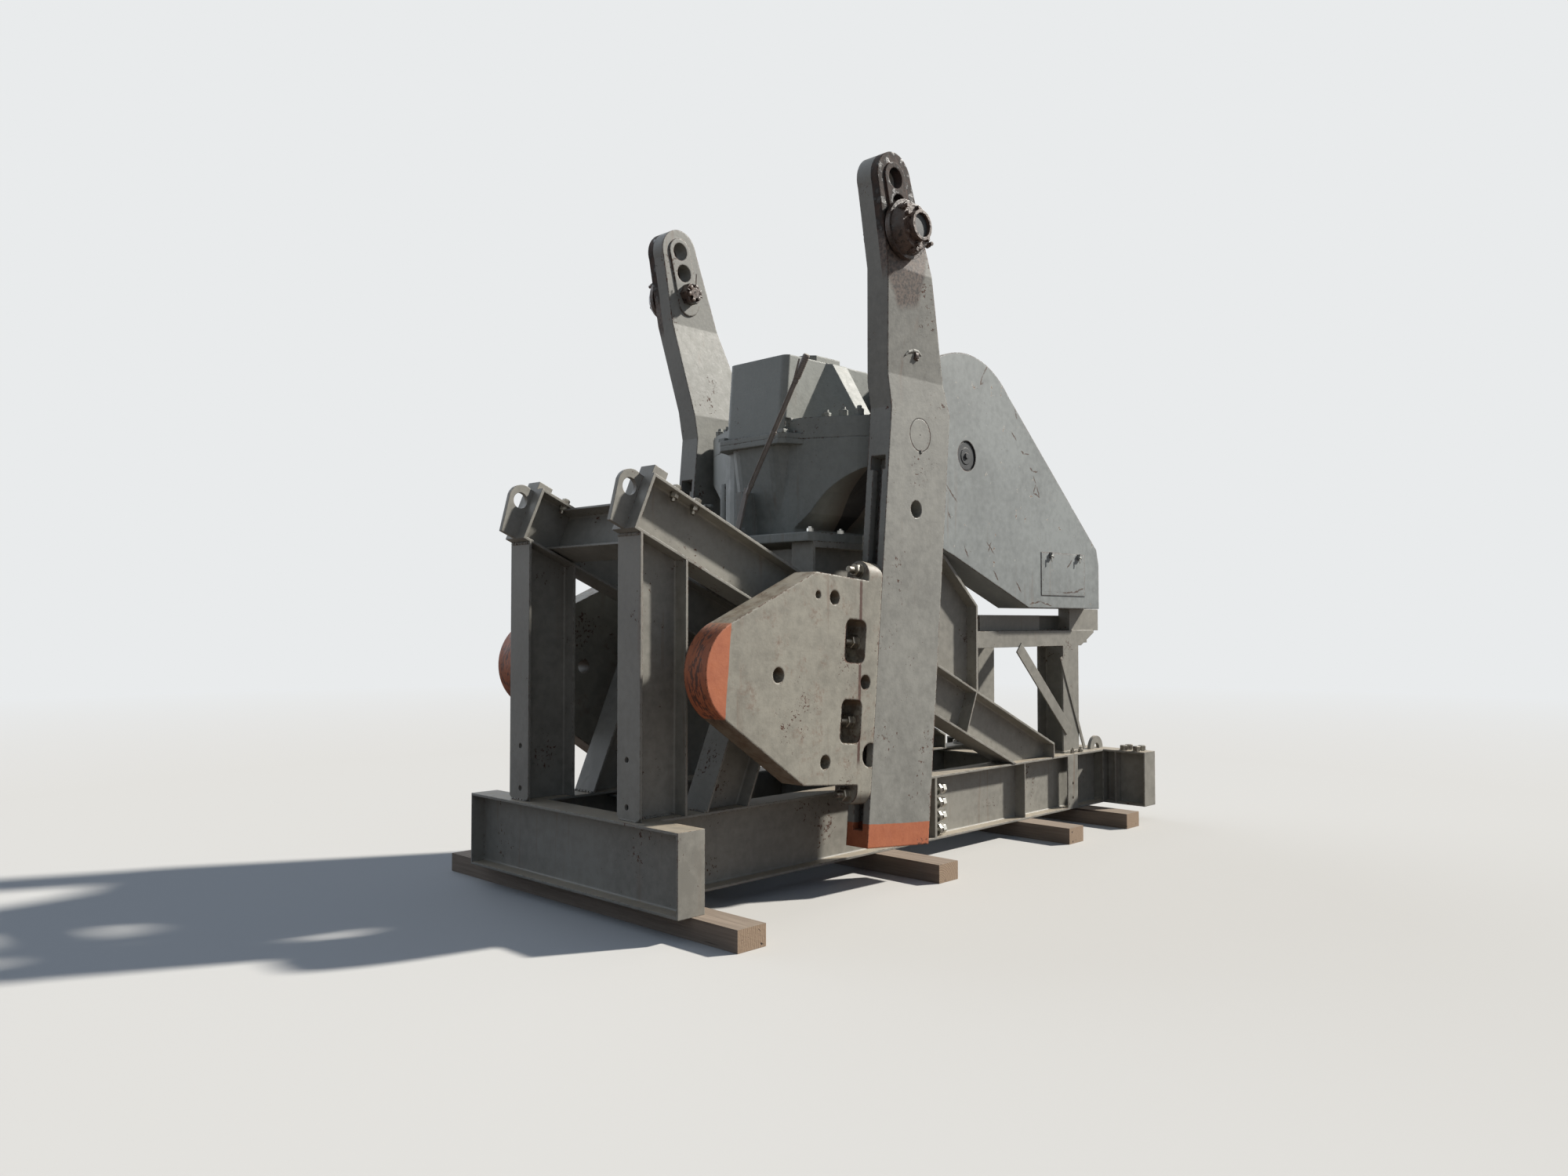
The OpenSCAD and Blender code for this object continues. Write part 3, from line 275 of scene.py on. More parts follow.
def guard_marks(tree, place, shape, colour, rough):
    # the strokes waver by 17 mm each way
    sway = 0.034
    bent = node(tree, "ShaderNodeTexNoise", {"Vector": place, "Scale": 24.0, "Detail": 4.0, "Roughness": 0.7})
    bent = node(tree, "ShaderNodeVectorMath", {0: bent.outputs["Color"], 1: (sway, 0.0, sway), 2: place},
                operation="MULTIPLY_ADD")
    nearest = 9.0  # further off than any scratch reaches
    for x, z, reach, lean in SCRATCHES:
        # a thin ellipse, 14 mm across, in its own turned and scaled frame
        middle = (x + sway / 2, 0.0, z + sway / 2)
        turned = node(tree, "ShaderNodeMapping", {"Vector": bent, "Location": middle,
                                                  "Rotation": (0.0, math.radians(lean), 0.0),
                                                  "Scale": (reach, 1000.0, 0.0070)}, vector_type="TEXTURE")
        span = node(tree, "ShaderNodeVectorMath", {0: turned}, operation="LENGTH")
        nearest = node(tree, "ShaderNodeMath", {0: nearest, 1: span}, operation="MINIMUM")
    line = node(tree, "ShaderNodeMapRange", {"Value": nearest, "From Min": 1.15, "From Max": 0.75})
    outer = node(tree, "ShaderNodeSeparateXYZ", {0: place}).outputs["Y"]
    outer = node(tree, "ShaderNodeMapRange", {"Value": outer, "From Min": -0.67, "From Max": -0.69})
    line = node(tree, "ShaderNodeMath", {0: line, 1: outer}, operation="MULTIPLY")
    broken = node(tree, "ShaderNodeTexNoise", {"Vector": place, "Scale": 60.0, "Detail": 3.0,
                                               "Roughness": 0.6})
    broken = node(tree, "ShaderNodeMapRange", {"Value": broken, "From Min": 0.34, "From Max": 0.44})
    line = node(tree, "ShaderNodeMath", {0: line, 1: broken}, operation="MULTIPLY")
    colour = node(tree, "ShaderNodeMix", {"Factor": line, 6: colour, 7: linear("#402c20")}, data_type="RGBA")
    # short knocks down to the primer, pale round a brown heart
    knock = node(tree, "ShaderNodeTexNoise", {"Vector": place, "Scale": 11.0, "Detail": 4.0,
                                              "Roughness": 0.72})
    for low, high, tone in ((0.665, 0.675, "#b9b7ae"), (0.680, 0.690, "#5d4334")):
        depth = node(tree, "ShaderNodeMapRange", {"Value": knock, "From Min": low, "From Max": high})
        colour = node(tree, "ShaderNodeMix", {"Factor": depth, 6: colour, 7: linear(tone)}, data_type="RGBA")
    return colour, rough, 0.0


guard_enamel = enamel("guard_enamel", "#818685", 30.0, 0.3, 0.55, guard_marks, 0.012, 3.0)
dress(guard_enamel, "guard_outer_sheet", "guard_inner_sheet", "guard_rim", "guard_door")

# Crank and counterweight castings: the same enamel over sand-cast iron, with a
# safety orange band brushed on the counterweight nose and on the crank foot, and
# black bearing grease that has run down from the crank pin.
SHAFT_Z = 2.937
ARM_LEAN = math.radians(5.1)
ARM_SIDE = (-math.cos(ARM_LEAN), 0.0, math.sin(ARM_LEAN))
ARM_DOWN = (-math.sin(ARM_LEAN), 0.0, -math.cos(ARM_LEAN))
PIN_LEAN = math.radians(14.0)
PIN_UP = (-math.sin(PIN_LEAN), 0.0, math.cos(PIN_LEAN))
PIN_SIDE = (math.cos(PIN_LEAN), 0.0, math.sin(PIN_LEAN))
# from the shaft to the front edge of the arm, on to the band of the nose, and to the
# band of the foot; the web of each crank runs 943.5 mm off the middle of the unit
ARM_EDGE = 0.315
NOSE_BAND = 1.285
FOOT_BAND = 2.545
WEB_Y = 0.9435
SHAFT_RING = 0.110  # radius of the joint between shaft and crank


def along(tree, place, direction):
    moved = node(tree, "ShaderNodeVectorMath", {0: place, 1: (0.0, 0.0, SHAFT_Z)}, operation="SUBTRACT")
    return node(tree, "ShaderNodeVectorMath", {0: moved, 1: direction}, operation="DOT_PRODUCT")


def brushed_band(tree, place, colour, distance, start):
    # the brush left the edge of the band 6 mm uneven
    wander = node(tree, "ShaderNodeTexNoise", {"Vector": place, "Scale": 9.0, "Detail": 3.0,
                                               "Roughness": 0.5})
    wander = node(tree, "ShaderNodeMath", {0: wander, 1: 0.012, 2: -0.006}, operation="MULTIPLY_ADD")
    band = node(tree, "ShaderNodeMath", {0: distance, 1: wander}, operation="ADD")
    band = node(tree, "ShaderNodeMapRange", {"Value": band, "From Min": start, "From Max": start + 0.004})
    tired = node(tree, "ShaderNodeTexNoise", {"Vector": place, "Scale": 14.0, "Detail": 6.0,
                                              "Roughness": 0.7})
    faded = node(tree, "ShaderNodeMix", {"Factor": tired, 6: linear("#8f4a30"), 7: linear("#b9714c")},
                 data_type="RGBA")
    return node(tree, "ShaderNodeMix", {"Factor": band, 6: colour, 7: faded}, data_type="RGBA")


def outer_side(tree, place, start):
    side = node(tree, "ShaderNodeSeparateXYZ", {0: place}).outputs["Y"]
    side = node(tree, "ShaderNodeMath", {0: side}, operation="ABSOLUTE")
    return node(tree, "ShaderNodeMapRange", {"Value": side, "From Min": start, "From Max": start + 0.004})


def nose_marks(tree, place, shape, colour, rough):
    # a rust run 25 mm wide down the outer side past both pockets
    at = node(tree, "ShaderNodeSeparateXYZ", {0: place}).outputs
    drift = node(tree, "ShaderNodeMath", {0: at["Z"], 1: -0.0287, 2: 0.665}, operation="MULTIPLY_ADD")
    off = node(tree, "ShaderNodeMath", {0: at["X"], 1: drift}, operation="ADD")
    off = node(tree, "ShaderNodeMath", {0: off}, operation="ABSOLUTE")
    torn = node(tree, "ShaderNodeTexNoise", {"Vector": place, "Scale": 30.0, "Detail": 6.0, "Roughness": 0.7})
    lane = node(tree, "ShaderNodeMath", {0: torn, 1: 0.018, 2: off}, operation="MULTIPLY_ADD")
    lane = node(tree, "ShaderNodeMapRange", {"Value": lane, "From Min": 0.0240, "From Max": 0.0190})
    foot = node(tree, "ShaderNodeMapRange", {"Value": at["Z"], "From Min": 0.80, "From Max": 0.84})
    head = node(tree, "ShaderNodeMapRange", {"Value": at["Z"], "From Min": 1.97, "From Max": 1.94})
    part = node(tree, "ShaderNodeMath", {0: foot, 1: head}, operation="MULTIPLY")
    run = node(tree, "ShaderNodeMath", {0: lane, 1: part}, operation="MULTIPLY")
    run = node(tree, "ShaderNodeMath", {0: run, 1: outer_side(tree, place, 1.02)}, operation="MULTIPLY")
    colour = node(tree, "ShaderNodeMix", {"Factor": run, 6: colour, 7: linear("#4c352c")}, data_type="RGBA")
    # brown smears where hands and slings rubbed the pocket rims, about 90 mm across
    smear = node(tree, "ShaderNodeTexNoise", {"Vector": place, "Scale": 5.5, "Detail": 5.0, "Roughness": 0.7})
    smear = node(tree, "ShaderNodeMapRange", {"Value": smear, "From Min": 0.53, "From Max": 0.62})
    flecks = node(tree, "ShaderNodeMapRange", {"Value": torn, "From Min": 0.44, "From Max": 0.62,
                                               "To Max": 0.60})
    smear = node(tree, "ShaderNodeMath", {0: smear, 1: flecks}, operation="MULTIPLY")
    colour = node(tree, "ShaderNodeMix", {"Factor": smear, 6: colour, 7: linear("#6f5545")}, data_type="RGBA")
    # the sloping edges: dark drips on the upper one; on the lower one brown splash dirt, and with it painted
    # shade that darkens and browns the faces turned down
    facing = node(tree, "ShaderNodeSeparateXYZ", {0: shape.outputs["True Normal"]}).outputs
    slope = node(tree, "ShaderNodeMath", {0: facing["Y"]}, operation="ABSOLUTE")
    slope = node(tree, "ShaderNodeMapRange", {"Value": slope, "From Min": 0.5, "From Max": 0.3})
    drips = node(tree, "ShaderNodeTexNoise", {"Vector": place, "Scale": 9.0, "Detail": 6.0, "Roughness": 0.7})
    drips = node(tree, "ShaderNodeMapRange", {"Value": drips, "From Min": 0.47, "From Max": 0.60,
                                              "To Max": 0.75})
    drips = node(tree, "ShaderNodeMath", {0: slope, 1: drips}, operation="MULTIPLY")
    colour = node(tree, "ShaderNodeMix", {"Factor": drips, 6: colour, 7: linear("#4e3f35")}, data_type="RGBA")
    # brown on faces turned down: splash dirt, and painted shade in part
    splash_dirt_and_painted_shade = node(tree, "ShaderNodeMapRange", {"Value": facing["Z"], "From Min": 0.0, "From Max": -0.3,
                                               "To Max": 0.55})
    splash_dirt_and_painted_shade = node(tree, "ShaderNodeMath", {0: slope, 1: splash_dirt_and_painted_shade}, operation="MULTIPLY")
    colour = node(tree, "ShaderNodeMix", {"Factor": splash_dirt_and_painted_shade, 6: colour, 7: linear("#6a5138")},
                  data_type="RGBA")
    ahead = along(tree, place, ARM_SIDE)
    colour = brushed_band(tree, place, colour, ahead, ARM_EDGE + NOSE_BAND)
    # dark scuffs 60 mm long round the middle of the orange rim
    scuff = node(tree, "ShaderNodeMapping", {"Vector": place, "Scale": (1.0, 2.2, 0.55)})
    scuff = node(tree, "ShaderNodeTexNoise", {"Vector": scuff, "Scale": 26.0, "Detail": 3.0,
                                              "Roughness": 0.7})
    scuff = node(tree, "ShaderNodeMapRange", {"Value": scuff, "From Min": 0.50, "From Max": 0.54,
                                              "To Max": 0.85})
    middle = node(tree, "ShaderNodeMath", {0: at["Y"]}, operation="ABSOLUTE")
    middle = node(tree, "ShaderNodeMath", {0: middle, 1: WEB_Y}, operation="SUBTRACT")
    middle = node(tree, "ShaderNodeMath", {0: middle}, operation="ABSOLUTE")
    wide = node(tree, "ShaderNodeTexNoise", {"Vector": place, "Scale": 4.0, "Detail": 2.0, "Roughness": 0.6})
    middle = node(tree, "ShaderNodeMath", {0: wide, 1: 0.09, 2: middle}, operation="MULTIPLY_ADD")
    middle = node(tree, "ShaderNodeMapRange", {"Value": middle, "From Min": 0.125, "From Max": 0.095})
    scuff = node(tree, "ShaderNodeMath", {0: scuff, 1: middle}, operation="MULTIPLY")
    tip = node(tree, "ShaderNodeMapRange", {"Value": ahead, "From Min": 1.50, "From Max": 1.62})
    scuff = node(tree, "ShaderNodeMath", {0: scuff, 1: tip}, operation="MULTIPLY")
    colour = node(tree, "ShaderNodeMix", {"Factor": scuff, 6: colour, 7: linear("#3a2a25")}, data_type="RGBA")
    return colour, rough, 0.0


def crank_marks(tree, place, shape, colour, rough):
    colour = brushed_band(tree, place, colour, along(tree, place, ARM_DOWN), FOOT_BAND)
    # the joint ring of the shaft end, 4 mm wide, and its centre drilling drawn as a dark dot of painted shade
    at = node(tree, "ShaderNodeSeparateXYZ", {0: place}).outputs
    radius = node(tree, "ShaderNodeMath", {0: at["Z"], 1: SHAFT_Z}, operation="SUBTRACT")
    radius = node(tree, "ShaderNodeCombineXYZ", {0: at["X"], 2: radius})
    radius = node(tree, "ShaderNodeVectorMath", {0: radius}, operation="LENGTH")
    ring = node(tree, "ShaderNodeMath", {0: radius, 1: SHAFT_RING}, operation="SUBTRACT")
    ring = node(tree, "ShaderNodeMath", {0: ring}, operation="ABSOLUTE")
    ring = node(tree, "ShaderNodeMapRange", {"Value": ring, "From Min": 0.0032, "From Max": 0.0018})
    drilling_painted_dark = node(tree, "ShaderNodeMapRange", {"Value": radius, "From Min": 0.007, "From Max": 0.006})
    ring = node(tree, "ShaderNodeMath", {0: ring, 1: drilling_painted_dark}, operation="MAXIMUM")
    ring = node(tree, "ShaderNodeMath", {0: ring, 1: outer_side(tree, place, 1.02)}, operation="MULTIPLY")
    # the dark joint line, and the painted shade of the drilling
    joint_line_and_painted_hole = node(tree, "ShaderNodeMath", {0: ring, 1: 0.85}, operation="MULTIPLY")
    colour = node(tree, "ShaderNodeMix", {"Factor": joint_line_and_painted_hole, 6: colour, 7: linear("#2c2824")}, data_type="RGBA")
    # bearing grease on the outer side of the tip: thick wet lumps over the whole width
    # above the housing and a brown run 180 mm wide that narrows below it
    reach = along(tree, place, PIN_UP)
    off = node(tree, "ShaderNodeMath", {0: along(tree, place, PIN_SIDE), 1: -0.01}, operation="SUBTRACT")
    off = node(tree, "ShaderNodeMath", {0: off}, operation="ABSOLUTE")
    ragged = node(tree, "ShaderNodeTexNoise", {"Vector": place, "Scale": 9.0, "Detail": 6.0,
                                               "Roughness": 0.65})
    wet = node(tree, "ShaderNodeMath", {0: ragged, 1: 0.30, 2: reach}, operation="MULTIPLY_ADD")
    wet = node(tree, "ShaderNodeMapRange", {"Value": wet, "From Min": 1.42, "From Max": 1.50})
    taper = node(tree, "ShaderNodeMath", {0: reach, 1: -0.42, 2: off}, operation="MULTIPLY_ADD")
    lane = node(tree, "ShaderNodeMath", {0: ragged, 1: 0.07, 2: taper}, operation="MULTIPLY_ADD")
    lane = node(tree, "ShaderNodeMapRange", {"Value": lane, "From Min": -0.195, "From Max": -0.235})
    fresh = node(tree, "ShaderNodeMapRange", {"Value": reach, "From Min": 0.80, "From Max": 0.86,
                                              "To Max": 0.92})
    run = node(tree, "ShaderNodeMath", {0: lane, 1: fresh}, operation="MULTIPLY")
    outer = outer_side(tree, place, 1.075)
    run = node(tree, "ShaderNodeMath", {0: run, 1: outer}, operation="MULTIPLY")
    speckle = node(tree, "ShaderNodeTexNoise", {"Vector": place, "Scale": 48.0, "Detail": 4.0,
                                                "Roughness": 0.65})
    speckle = node(tree, "ShaderNodeMapRange", {"Value": speckle, "From Min": 0.44, "From Max": 0.58})
    film = node(tree, "ShaderNodeMix", {"Factor": speckle, 6: linear("#64564d"), 7: linear("#2c2421")},
                data_type="RGBA")
    colour = node(tree, "ShaderNodeMix", {"Factor": run, 6: colour, 7: film}, data_type="RGBA")
    lumps = node(tree, "ShaderNodeTexNoise", {"Vector": place, "Scale": 16.0, "Detail": 5.0,
                                              "Roughness": 0.55})
    thick = node(tree, "ShaderNodeMapRange", {"Value": lumps, "From Min": 0.40, "From Max": 0.56})
    thick = node(tree, "ShaderNodeMix", {"Factor": thick, 6: linear("#3a2d27"), 7: linear("#120f0e")},
                 data_type="RGBA")
    coated = node(tree, "ShaderNodeMath", {0: wet, 1: outer}, operation="MULTIPLY")
    colour = node(tree, "ShaderNodeMix", {"Factor": coated, 6: colour, 7: thick}, data_type="RGBA")
    gloss = node(tree, "ShaderNodeMapRange", {"Value": lumps, "From Min": 0.54, "From Max": 0.64})
    gloss = node(tree, "ShaderNodeMix", {"Factor": gloss, 2: 0.85, 3: 0.34})
    rough = node(tree, "ShaderNodeMix", {"Factor": coated, 2: rough, 3: gloss})
    # the lumps stand up and the joint ring is sunk
    height = node(tree, "ShaderNodeMath", {0: lumps, 1: coated}, operation="MULTIPLY")
    height = node(tree, "ShaderNodeMath", {0: height, 1: 9.0}, operation="MULTIPLY")
    sunk = node(tree, "ShaderNodeMath", {0: ring, 1: 2.0}, operation="MULTIPLY")
    height = node(tree, "ShaderNodeMath", {0: height, 1: sunk}, operation="SUBTRACT")
    return colour, rough, height


nose_enamel = enamel("counterweight_enamel", "#8b887d", 45.0, 1.6, 1.1, nose_marks, 0.016)
dress(nose_enamel, "near_counterweight", "far_counterweight")
crank_enamel = enamel("crank_enamel", "#80807a", 45.0, 1.6, 1.2, crank_marks, 0.014)
dress(crank_enamel, "near_crank", "far_crank", "crankshaft")


# Bare and oiled steel: nuts, bolts and studs that have browned in the weather under
# a film of oil, and zinc plated ones that stay bright.
def oiled_steel(name, bright, brown, roughness, rusted):
    steel, tree = blank_material(name)
    place = node(tree, "ShaderNodeTexCoord").outputs["Object"]
    # stains about 45 mm across
    stain = node(tree, "ShaderNodeTexNoise", {"Vector": place, "Scale": 22.0, "Detail": 6.0,
                                              "Roughness": 0.7})
    browned = node(tree, "ShaderNodeMapRange", {"Value": stain, "From Min": 0.62 - 0.3 * rusted,
                                                "From Max": 0.72 - 0.2 * rusted})
    colour = node(tree, "ShaderNodeMix", {"Factor": browned, 6: linear(bright), 7: linear(brown)},
                  data_type="RGBA")
    rough = node(tree, "ShaderNodeMix", {"Factor": browned, 2: roughness, 3: 0.75})
    metal = node(tree, "ShaderNodeMath", {0: 1.0, 1: browned}, operation="SUBTRACT")
    soft = node(tree, "ShaderNodeBevel", {"Radius": 0.003}, samples=4)
    relief = node(tree, "ShaderNodeBump", {"Height": stain, "Distance": 0.001, "Strength": 0.5,
                                           "Normal": soft})
    coat(tree, colour, rough, relief, metal)
    return steel


bolt_steel = oiled_steel("bolt_steel", "#8d8980", "#4f3c30", 0.4, 0.3)
bright_zinc = oiled_steel("bright_zinc", "#b9b8b2", "#7d766c", 0.34, 0.05)

# Lever and sheave: the hand lever wears a thin brownish coat of enamel over bar steel, and the cast sheave
# with the end of its shaft a dark blue grey one, made darker still as painted shade; the disc in each pin
# housing bore wears it too.
lever_paint = enamel("lever_paint", "#857e77", 90.0, 0.6, 0.5)
dress(lever_paint, "brake_lever")
sheave_enamel_and_painted_shade = enamel("sheave_enamel_and_painted_shade", "#2c3033", 60.0, 0.4, 0.3)
dress(sheave_enamel_and_painted_shade, "input_shaft")

# Greased iron: the pin housings and castle nuts, brown iron under old bearing grease
# that is dull where dust stuck to it and wet in lumps.
greasy_iron, tree = blank_material("greasy_iron")
place = node(tree, "ShaderNodeTexCoord").outputs["Object"]
# lumps of 30 mm on broad stains of 120 mm, drawn out downwards
lumps = node(tree, "ShaderNodeTexNoise", {"Vector": place, "Scale": 34.0, "Detail": 5.0, "Roughness": 0.6})
stain = node(tree, "ShaderNodeMapping", {"Vector": place, "Scale": (1.0, 1.0, 0.45)})
stain = node(tree, "ShaderNodeTexNoise", {"Vector": stain, "Scale": 9.0, "Detail": 5.0, "Roughness": 0.65})
stain = node(tree, "ShaderNodeMapRange", {"Value": stain, "From Min": 0.40, "From Max": 0.62})
colour = node(tree, "ShaderNodeMix", {"Factor": stain, 6: linear("#5d4c42"), 7: linear("#372c26")},
              data_type="RGBA")
black = node(tree, "ShaderNodeMapRange", {"Value": lumps, "From Min": 0.52, "From Max": 0.66})
colour = node(tree, "ShaderNodeMix", {"Factor": black, 6: colour, 7: linear("#211b18")}, data_type="RGBA")
rough = node(tree, "ShaderNodeMapRange", {"Value": lumps, "From Min": 0.40, "From Max": 0.64, "To Min": 0.55,
                                          "To Max": 0.22})
soft = node(tree, "ShaderNodeBevel", {"Radius": 0.005}, samples=4)
relief = node(tree, "ShaderNodeBump", {"Height": lumps, "Distance": 0.005, "Strength": 0.6, "Normal": soft})
coat(tree, colour, rough, relief)
dress(greasy_iron, "near_crank_pin", "far_crank_pin", "near_pin_housing", "far_pin_housing")

# Sleepers: rough-sawn softwood greyed by weather, split along the grain, with
# pale sawn ends that show the growth rings.
sleeper, tree = blank_material("weathered_softwood")
place = node(tree, "ShaderNodeTexCoord").outputs["Object"]
shape = node(tree, "ShaderNodeNewGeometry")
# fibres 16 mm wide and 500 mm long, cracks twice as wide
grain = node(tree, "ShaderNodeMapping", {"Vector": place, "Scale": (38.0, 1.3, 38.0)})
fibre = node(tree, "ShaderNodeTexNoise", {"Vector": grain, "Scale": 1.6, "Detail": 7.0, "Roughness": 0.65})
cracks = node(tree, "ShaderNodeTexNoise", {"Vector": grain, "Scale": 0.7, "Detail": 3.0, "Roughness": 0.5})
cracks = node(tree, "ShaderNodeMapRange", {"Value": cracks, "From Min": 0.66, "From Max": 0.70})
rings = node(tree, "ShaderNodeTexWave", {"Vector": place, "Scale": 22.0, "Distortion": 3.5, "Detail": 3.0},
             wave_type="RINGS", rings_direction="Y")
ends = node(tree, "ShaderNodeSeparateXYZ", {0: shape.outputs["Normal"]}).outputs["Y"]
ends = node(tree, "ShaderNodeMath", {0: ends}, operation="ABSOLUTE")
ends = node(tree, "ShaderNodeMapRange", {"Value": ends, "From Min": 0.8, "From Max": 0.9})
flank = node(tree, "ShaderNodeMix", {"Factor": fibre, 6: linear("#54483d"), 7: linear("#a39484")},
             data_type="RGBA")
sawn = node(tree, "ShaderNodeMix", {"Factor": rings, 6: linear("#86715d"), 7: linear("#a08c76")},
            data_type="RGBA")
colour = node(tree, "ShaderNodeMix", {"Factor": ends, 6: flank, 7: sawn}, data_type="RGBA")
colour = node(tree, "ShaderNodeMix", {"Factor": cracks, 6: colour, 7: linear("#2c221b")}, data_type="RGBA")
relief = node(tree, "ShaderNodeMath", {0: fibre, 1: cracks}, operation="SUBTRACT")
relief = node(tree, "ShaderNodeBump", {"Height": relief, "Distance": 0.003, "Strength": 0.7})
coat(tree, colour, 0.85, relief)
dress(sleeper, "front_timber", "mid_timber", "rear_timber_a", "rear_timber_b")


# Structural bolts: forged hex heads and nuts on round washers, some with the
# stud standing through the nut.
def upright(at, axis, turn=0.0):
    return (Matrix.Translation(Vector(at)) @ Vector(axis).to_track_quat("Z", "Y").to_matrix().to_4x4()
            @ Matrix.Rotation(turn, 4, "Z"))


def hex_fastener(bm, at, axis, flats, height, stud=0.0, washer=True, turn=0.3):
    stand = upright(at, axis, turn)
    radius = flats / math.sqrt(3)
    seat = 0.005  # thickness of the washer
    if washer:
        bmesh.ops.create_cone(bm, cap_ends=True, segments=24, radius1=radius * 1.15, radius2=radius * 1.15,
                              depth=seat, matrix=stand @ Matrix.Translation((0, 0, seat / 2)))
    nut = bmesh.ops.create_cone(bm, cap_ends=True, segments=6, radius1=radius, radius2=radius, depth=height,
                                matrix=stand @ Matrix.Translation((0, 0, seat + height / 2)))
    up = (stand.to_3x3() @ Vector((0, 0, 1))).normalized()
    face = max({f for v in nut["verts"] for f in v.link_faces}, key=lambda f: f.calc_center_median() @ up)
    bmesh.ops.bevel(bm, geom=list(face.edges), offset=flats * 0.06, offset_type="OFFSET", segments=1,
                    profile=0.5, affect="EDGES", material=-1)
    if stud:
        bmesh.ops.create_cone(bm, cap_ends=True, segments=16, radius1=flats * 0.30, radius2=flats * 0.27,
                              depth=stud,
                              matrix=stand @ Matrix.Translation((0, 0, seat + height + stud / 2)))


def place_piece(name, bm, material, body):
    bmesh.ops.recalc_face_normals(bm, faces=bm.faces)
    for edge in bm.edges:
        edge.smooth = edge.calc_face_angle(0.0) < math.radians(32)
    for face in bm.faces:
        face.smooth = True
    mesh = bpy.data.meshes.new(name)
    bm.to_mesh(mesh)
    bm.free()
    mesh.materials.append(material)
    piece = bpy.data.objects.new(name, mesh)
    bpy.context.collection.objects.link(piece)
    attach(piece, body)


def rod(bm, start, end, radius, segments=16, radius_end=None):
    start, end = Vector(start), Vector(end)
    bmesh.ops.create_cone(bm, cap_ends=True, segments=segments, radius1=radius,
                          radius2=radius if radius_end is None else radius_end,
                          depth=(end - start).length, matrix=upright((start + end) / 2, end - start))


def plate(bm, at, axis, size, turn=0.0, bevel=0.002):
    stand = upright(at, axis, turn) @ Matrix.Diagonal((*size, 1.0))
    made = bmesh.ops.create_cube(bm, size=1.0, matrix=stand)
    edges = {e for v in made["verts"] for e in v.link_edges}
    bmesh.ops.bevel(bm, geom=list(edges), offset=bevel, offset_type="OFFSET", segments=2, profile=0.5,
                    affect="EDGES", material=-1)


def bead(bm, start, end, size=0.009, step=0.012):
    # a hand-laid weld: overlapping scales every 12 mm
    start, end = Vector(start), Vector(end)
    count = max(2, int((end - start).length / step))
    stand = upright((0, 0, 0), end - start)
    for i in range(count):
        at = start.lerp(end, (i + 0.5) / count)
        wide = size * (1.0 + 0.18 * math.sin(i * 2.4))
        bmesh.ops.create_cone(bm, cap_ends=True, segments=8, radius1=wide, radius2=wide * 0.72,
                              depth=step * 1.25, matrix=Matrix.Translation(at) @ stand)


# Skid joints: zinc studs with double nuts through the splice plates, the bolts
# that clamp the motor platform legs, and the big bolts on the rear cross beam.
SIDES = (("near", -1), ("far", 1))
SKID_TOP = 0.580
SPLICE_STUD_X = (0.697, 0.733, 0.778, 0.840)  # its head, both nuts and its tip
SPLICE_STUD_Y = 0.605
SPLICE_ROWS = (0.474, 0.374, 0.276, 0.182)
CLAMP_BOLTS_X = (2.66, 2.79)
CLAMP_BOLTS_Y = 0.610
REAR_BOLTS_X = (3.160, 3.256)
REAR_BOLTS_Y = (0.815, 0.935)
for side, sign in SIDES:
    bm = bmesh.new()
    for z in SPLICE_ROWS:
        head, nut, lock_nut, tip = ((x, sign * SPLICE_STUD_Y, z) for x in SPLICE_STUD_X)
        rod(bm, head, tip, 0.0165, 20)
        hex_fastener(bm, nut, (1, 0, 0), 0.065, 0.040, turn=0.2)
        hex_fastener(bm, lock_nut, (1, 0, 0), 0.065, 0.040, washer=False, turn=0.7)
    place_piece(side + "_splice_studs", bm, bright_zinc, "base")
    bm = bmesh.new()
    for x in REAR_BOLTS_X:
        for y in REAR_BOLTS_Y:
            hex_fastener(bm, (x, sign * y, SKID_TOP), (0, 0, 1), 0.060, 0.040, turn=x * 9 + y)
    for x in CLAMP_BOLTS_X:
        hex_fastener(bm, (x, sign * CLAMP_BOLTS_Y, SKID_TOP), (0, 0, 1), 0.036, 0.022, stud=0.018, turn=x)
    place_piece(side + "_skid_bolts", bm, bolt_steel, "base")

# Welds of the frame, under the same paint: scaled fillets round the feet of the posts
# and struts and below the ramp beams at the post heads, and stitches along the pedestal.
RAMP = math.radians(23.43)
RAMP_TOP_Z = 1.690  # top of the ramp beams straight below the crankshaft
POST_FACES = (-2.055, -1.709)
POST_HEAD_Z = 2.1902
STRUT_FACES = (-1.561, -1.2145)
FOOT_WELD_Z = 0.583
STITCHES = (-0.634, -0.30, 0.10, 0.55)
STITCH_Y = 0.562
STITCH_LENGTH = 0.31


def ramp_top(x):
    return RAMP_TOP_Z - math.tan(RAMP) * x


for side, sign in SIDES:
    bm = bmesh.new()
    for x in POST_FACES:
        bead(bm, (x, sign * 0.476, FOOT_WELD_Z), (x, sign * 0.626, FOOT_WELD_Z))
    bead(bm, (-2.038, sign * 0.5575, 0.584), (-1.726, sign * 0.5575, 0.584))
    bead(bm, (POST_FACES[0], sign * 0.454, POST_HEAD_Z), (POST_FACES[0], sign * 0.648, POST_HEAD_Z), 0.010)
    for x in STRUT_FACES:
        bead(bm, (x, sign * 0.456, FOOT_WELD_Z), (x, sign * 0.646, FOOT_WELD_Z))
    for x in STITCHES:
        start = Vector((x + 0.02, sign * STITCH_Y, ramp_top(x) + 0.004))
        bead(bm, start, start + Vector((1, 0, -math.tan(RAMP))) * STITCH_LENGTH)
    place_piece(side + "_frame_welds", bm, frame_enamel, "base")

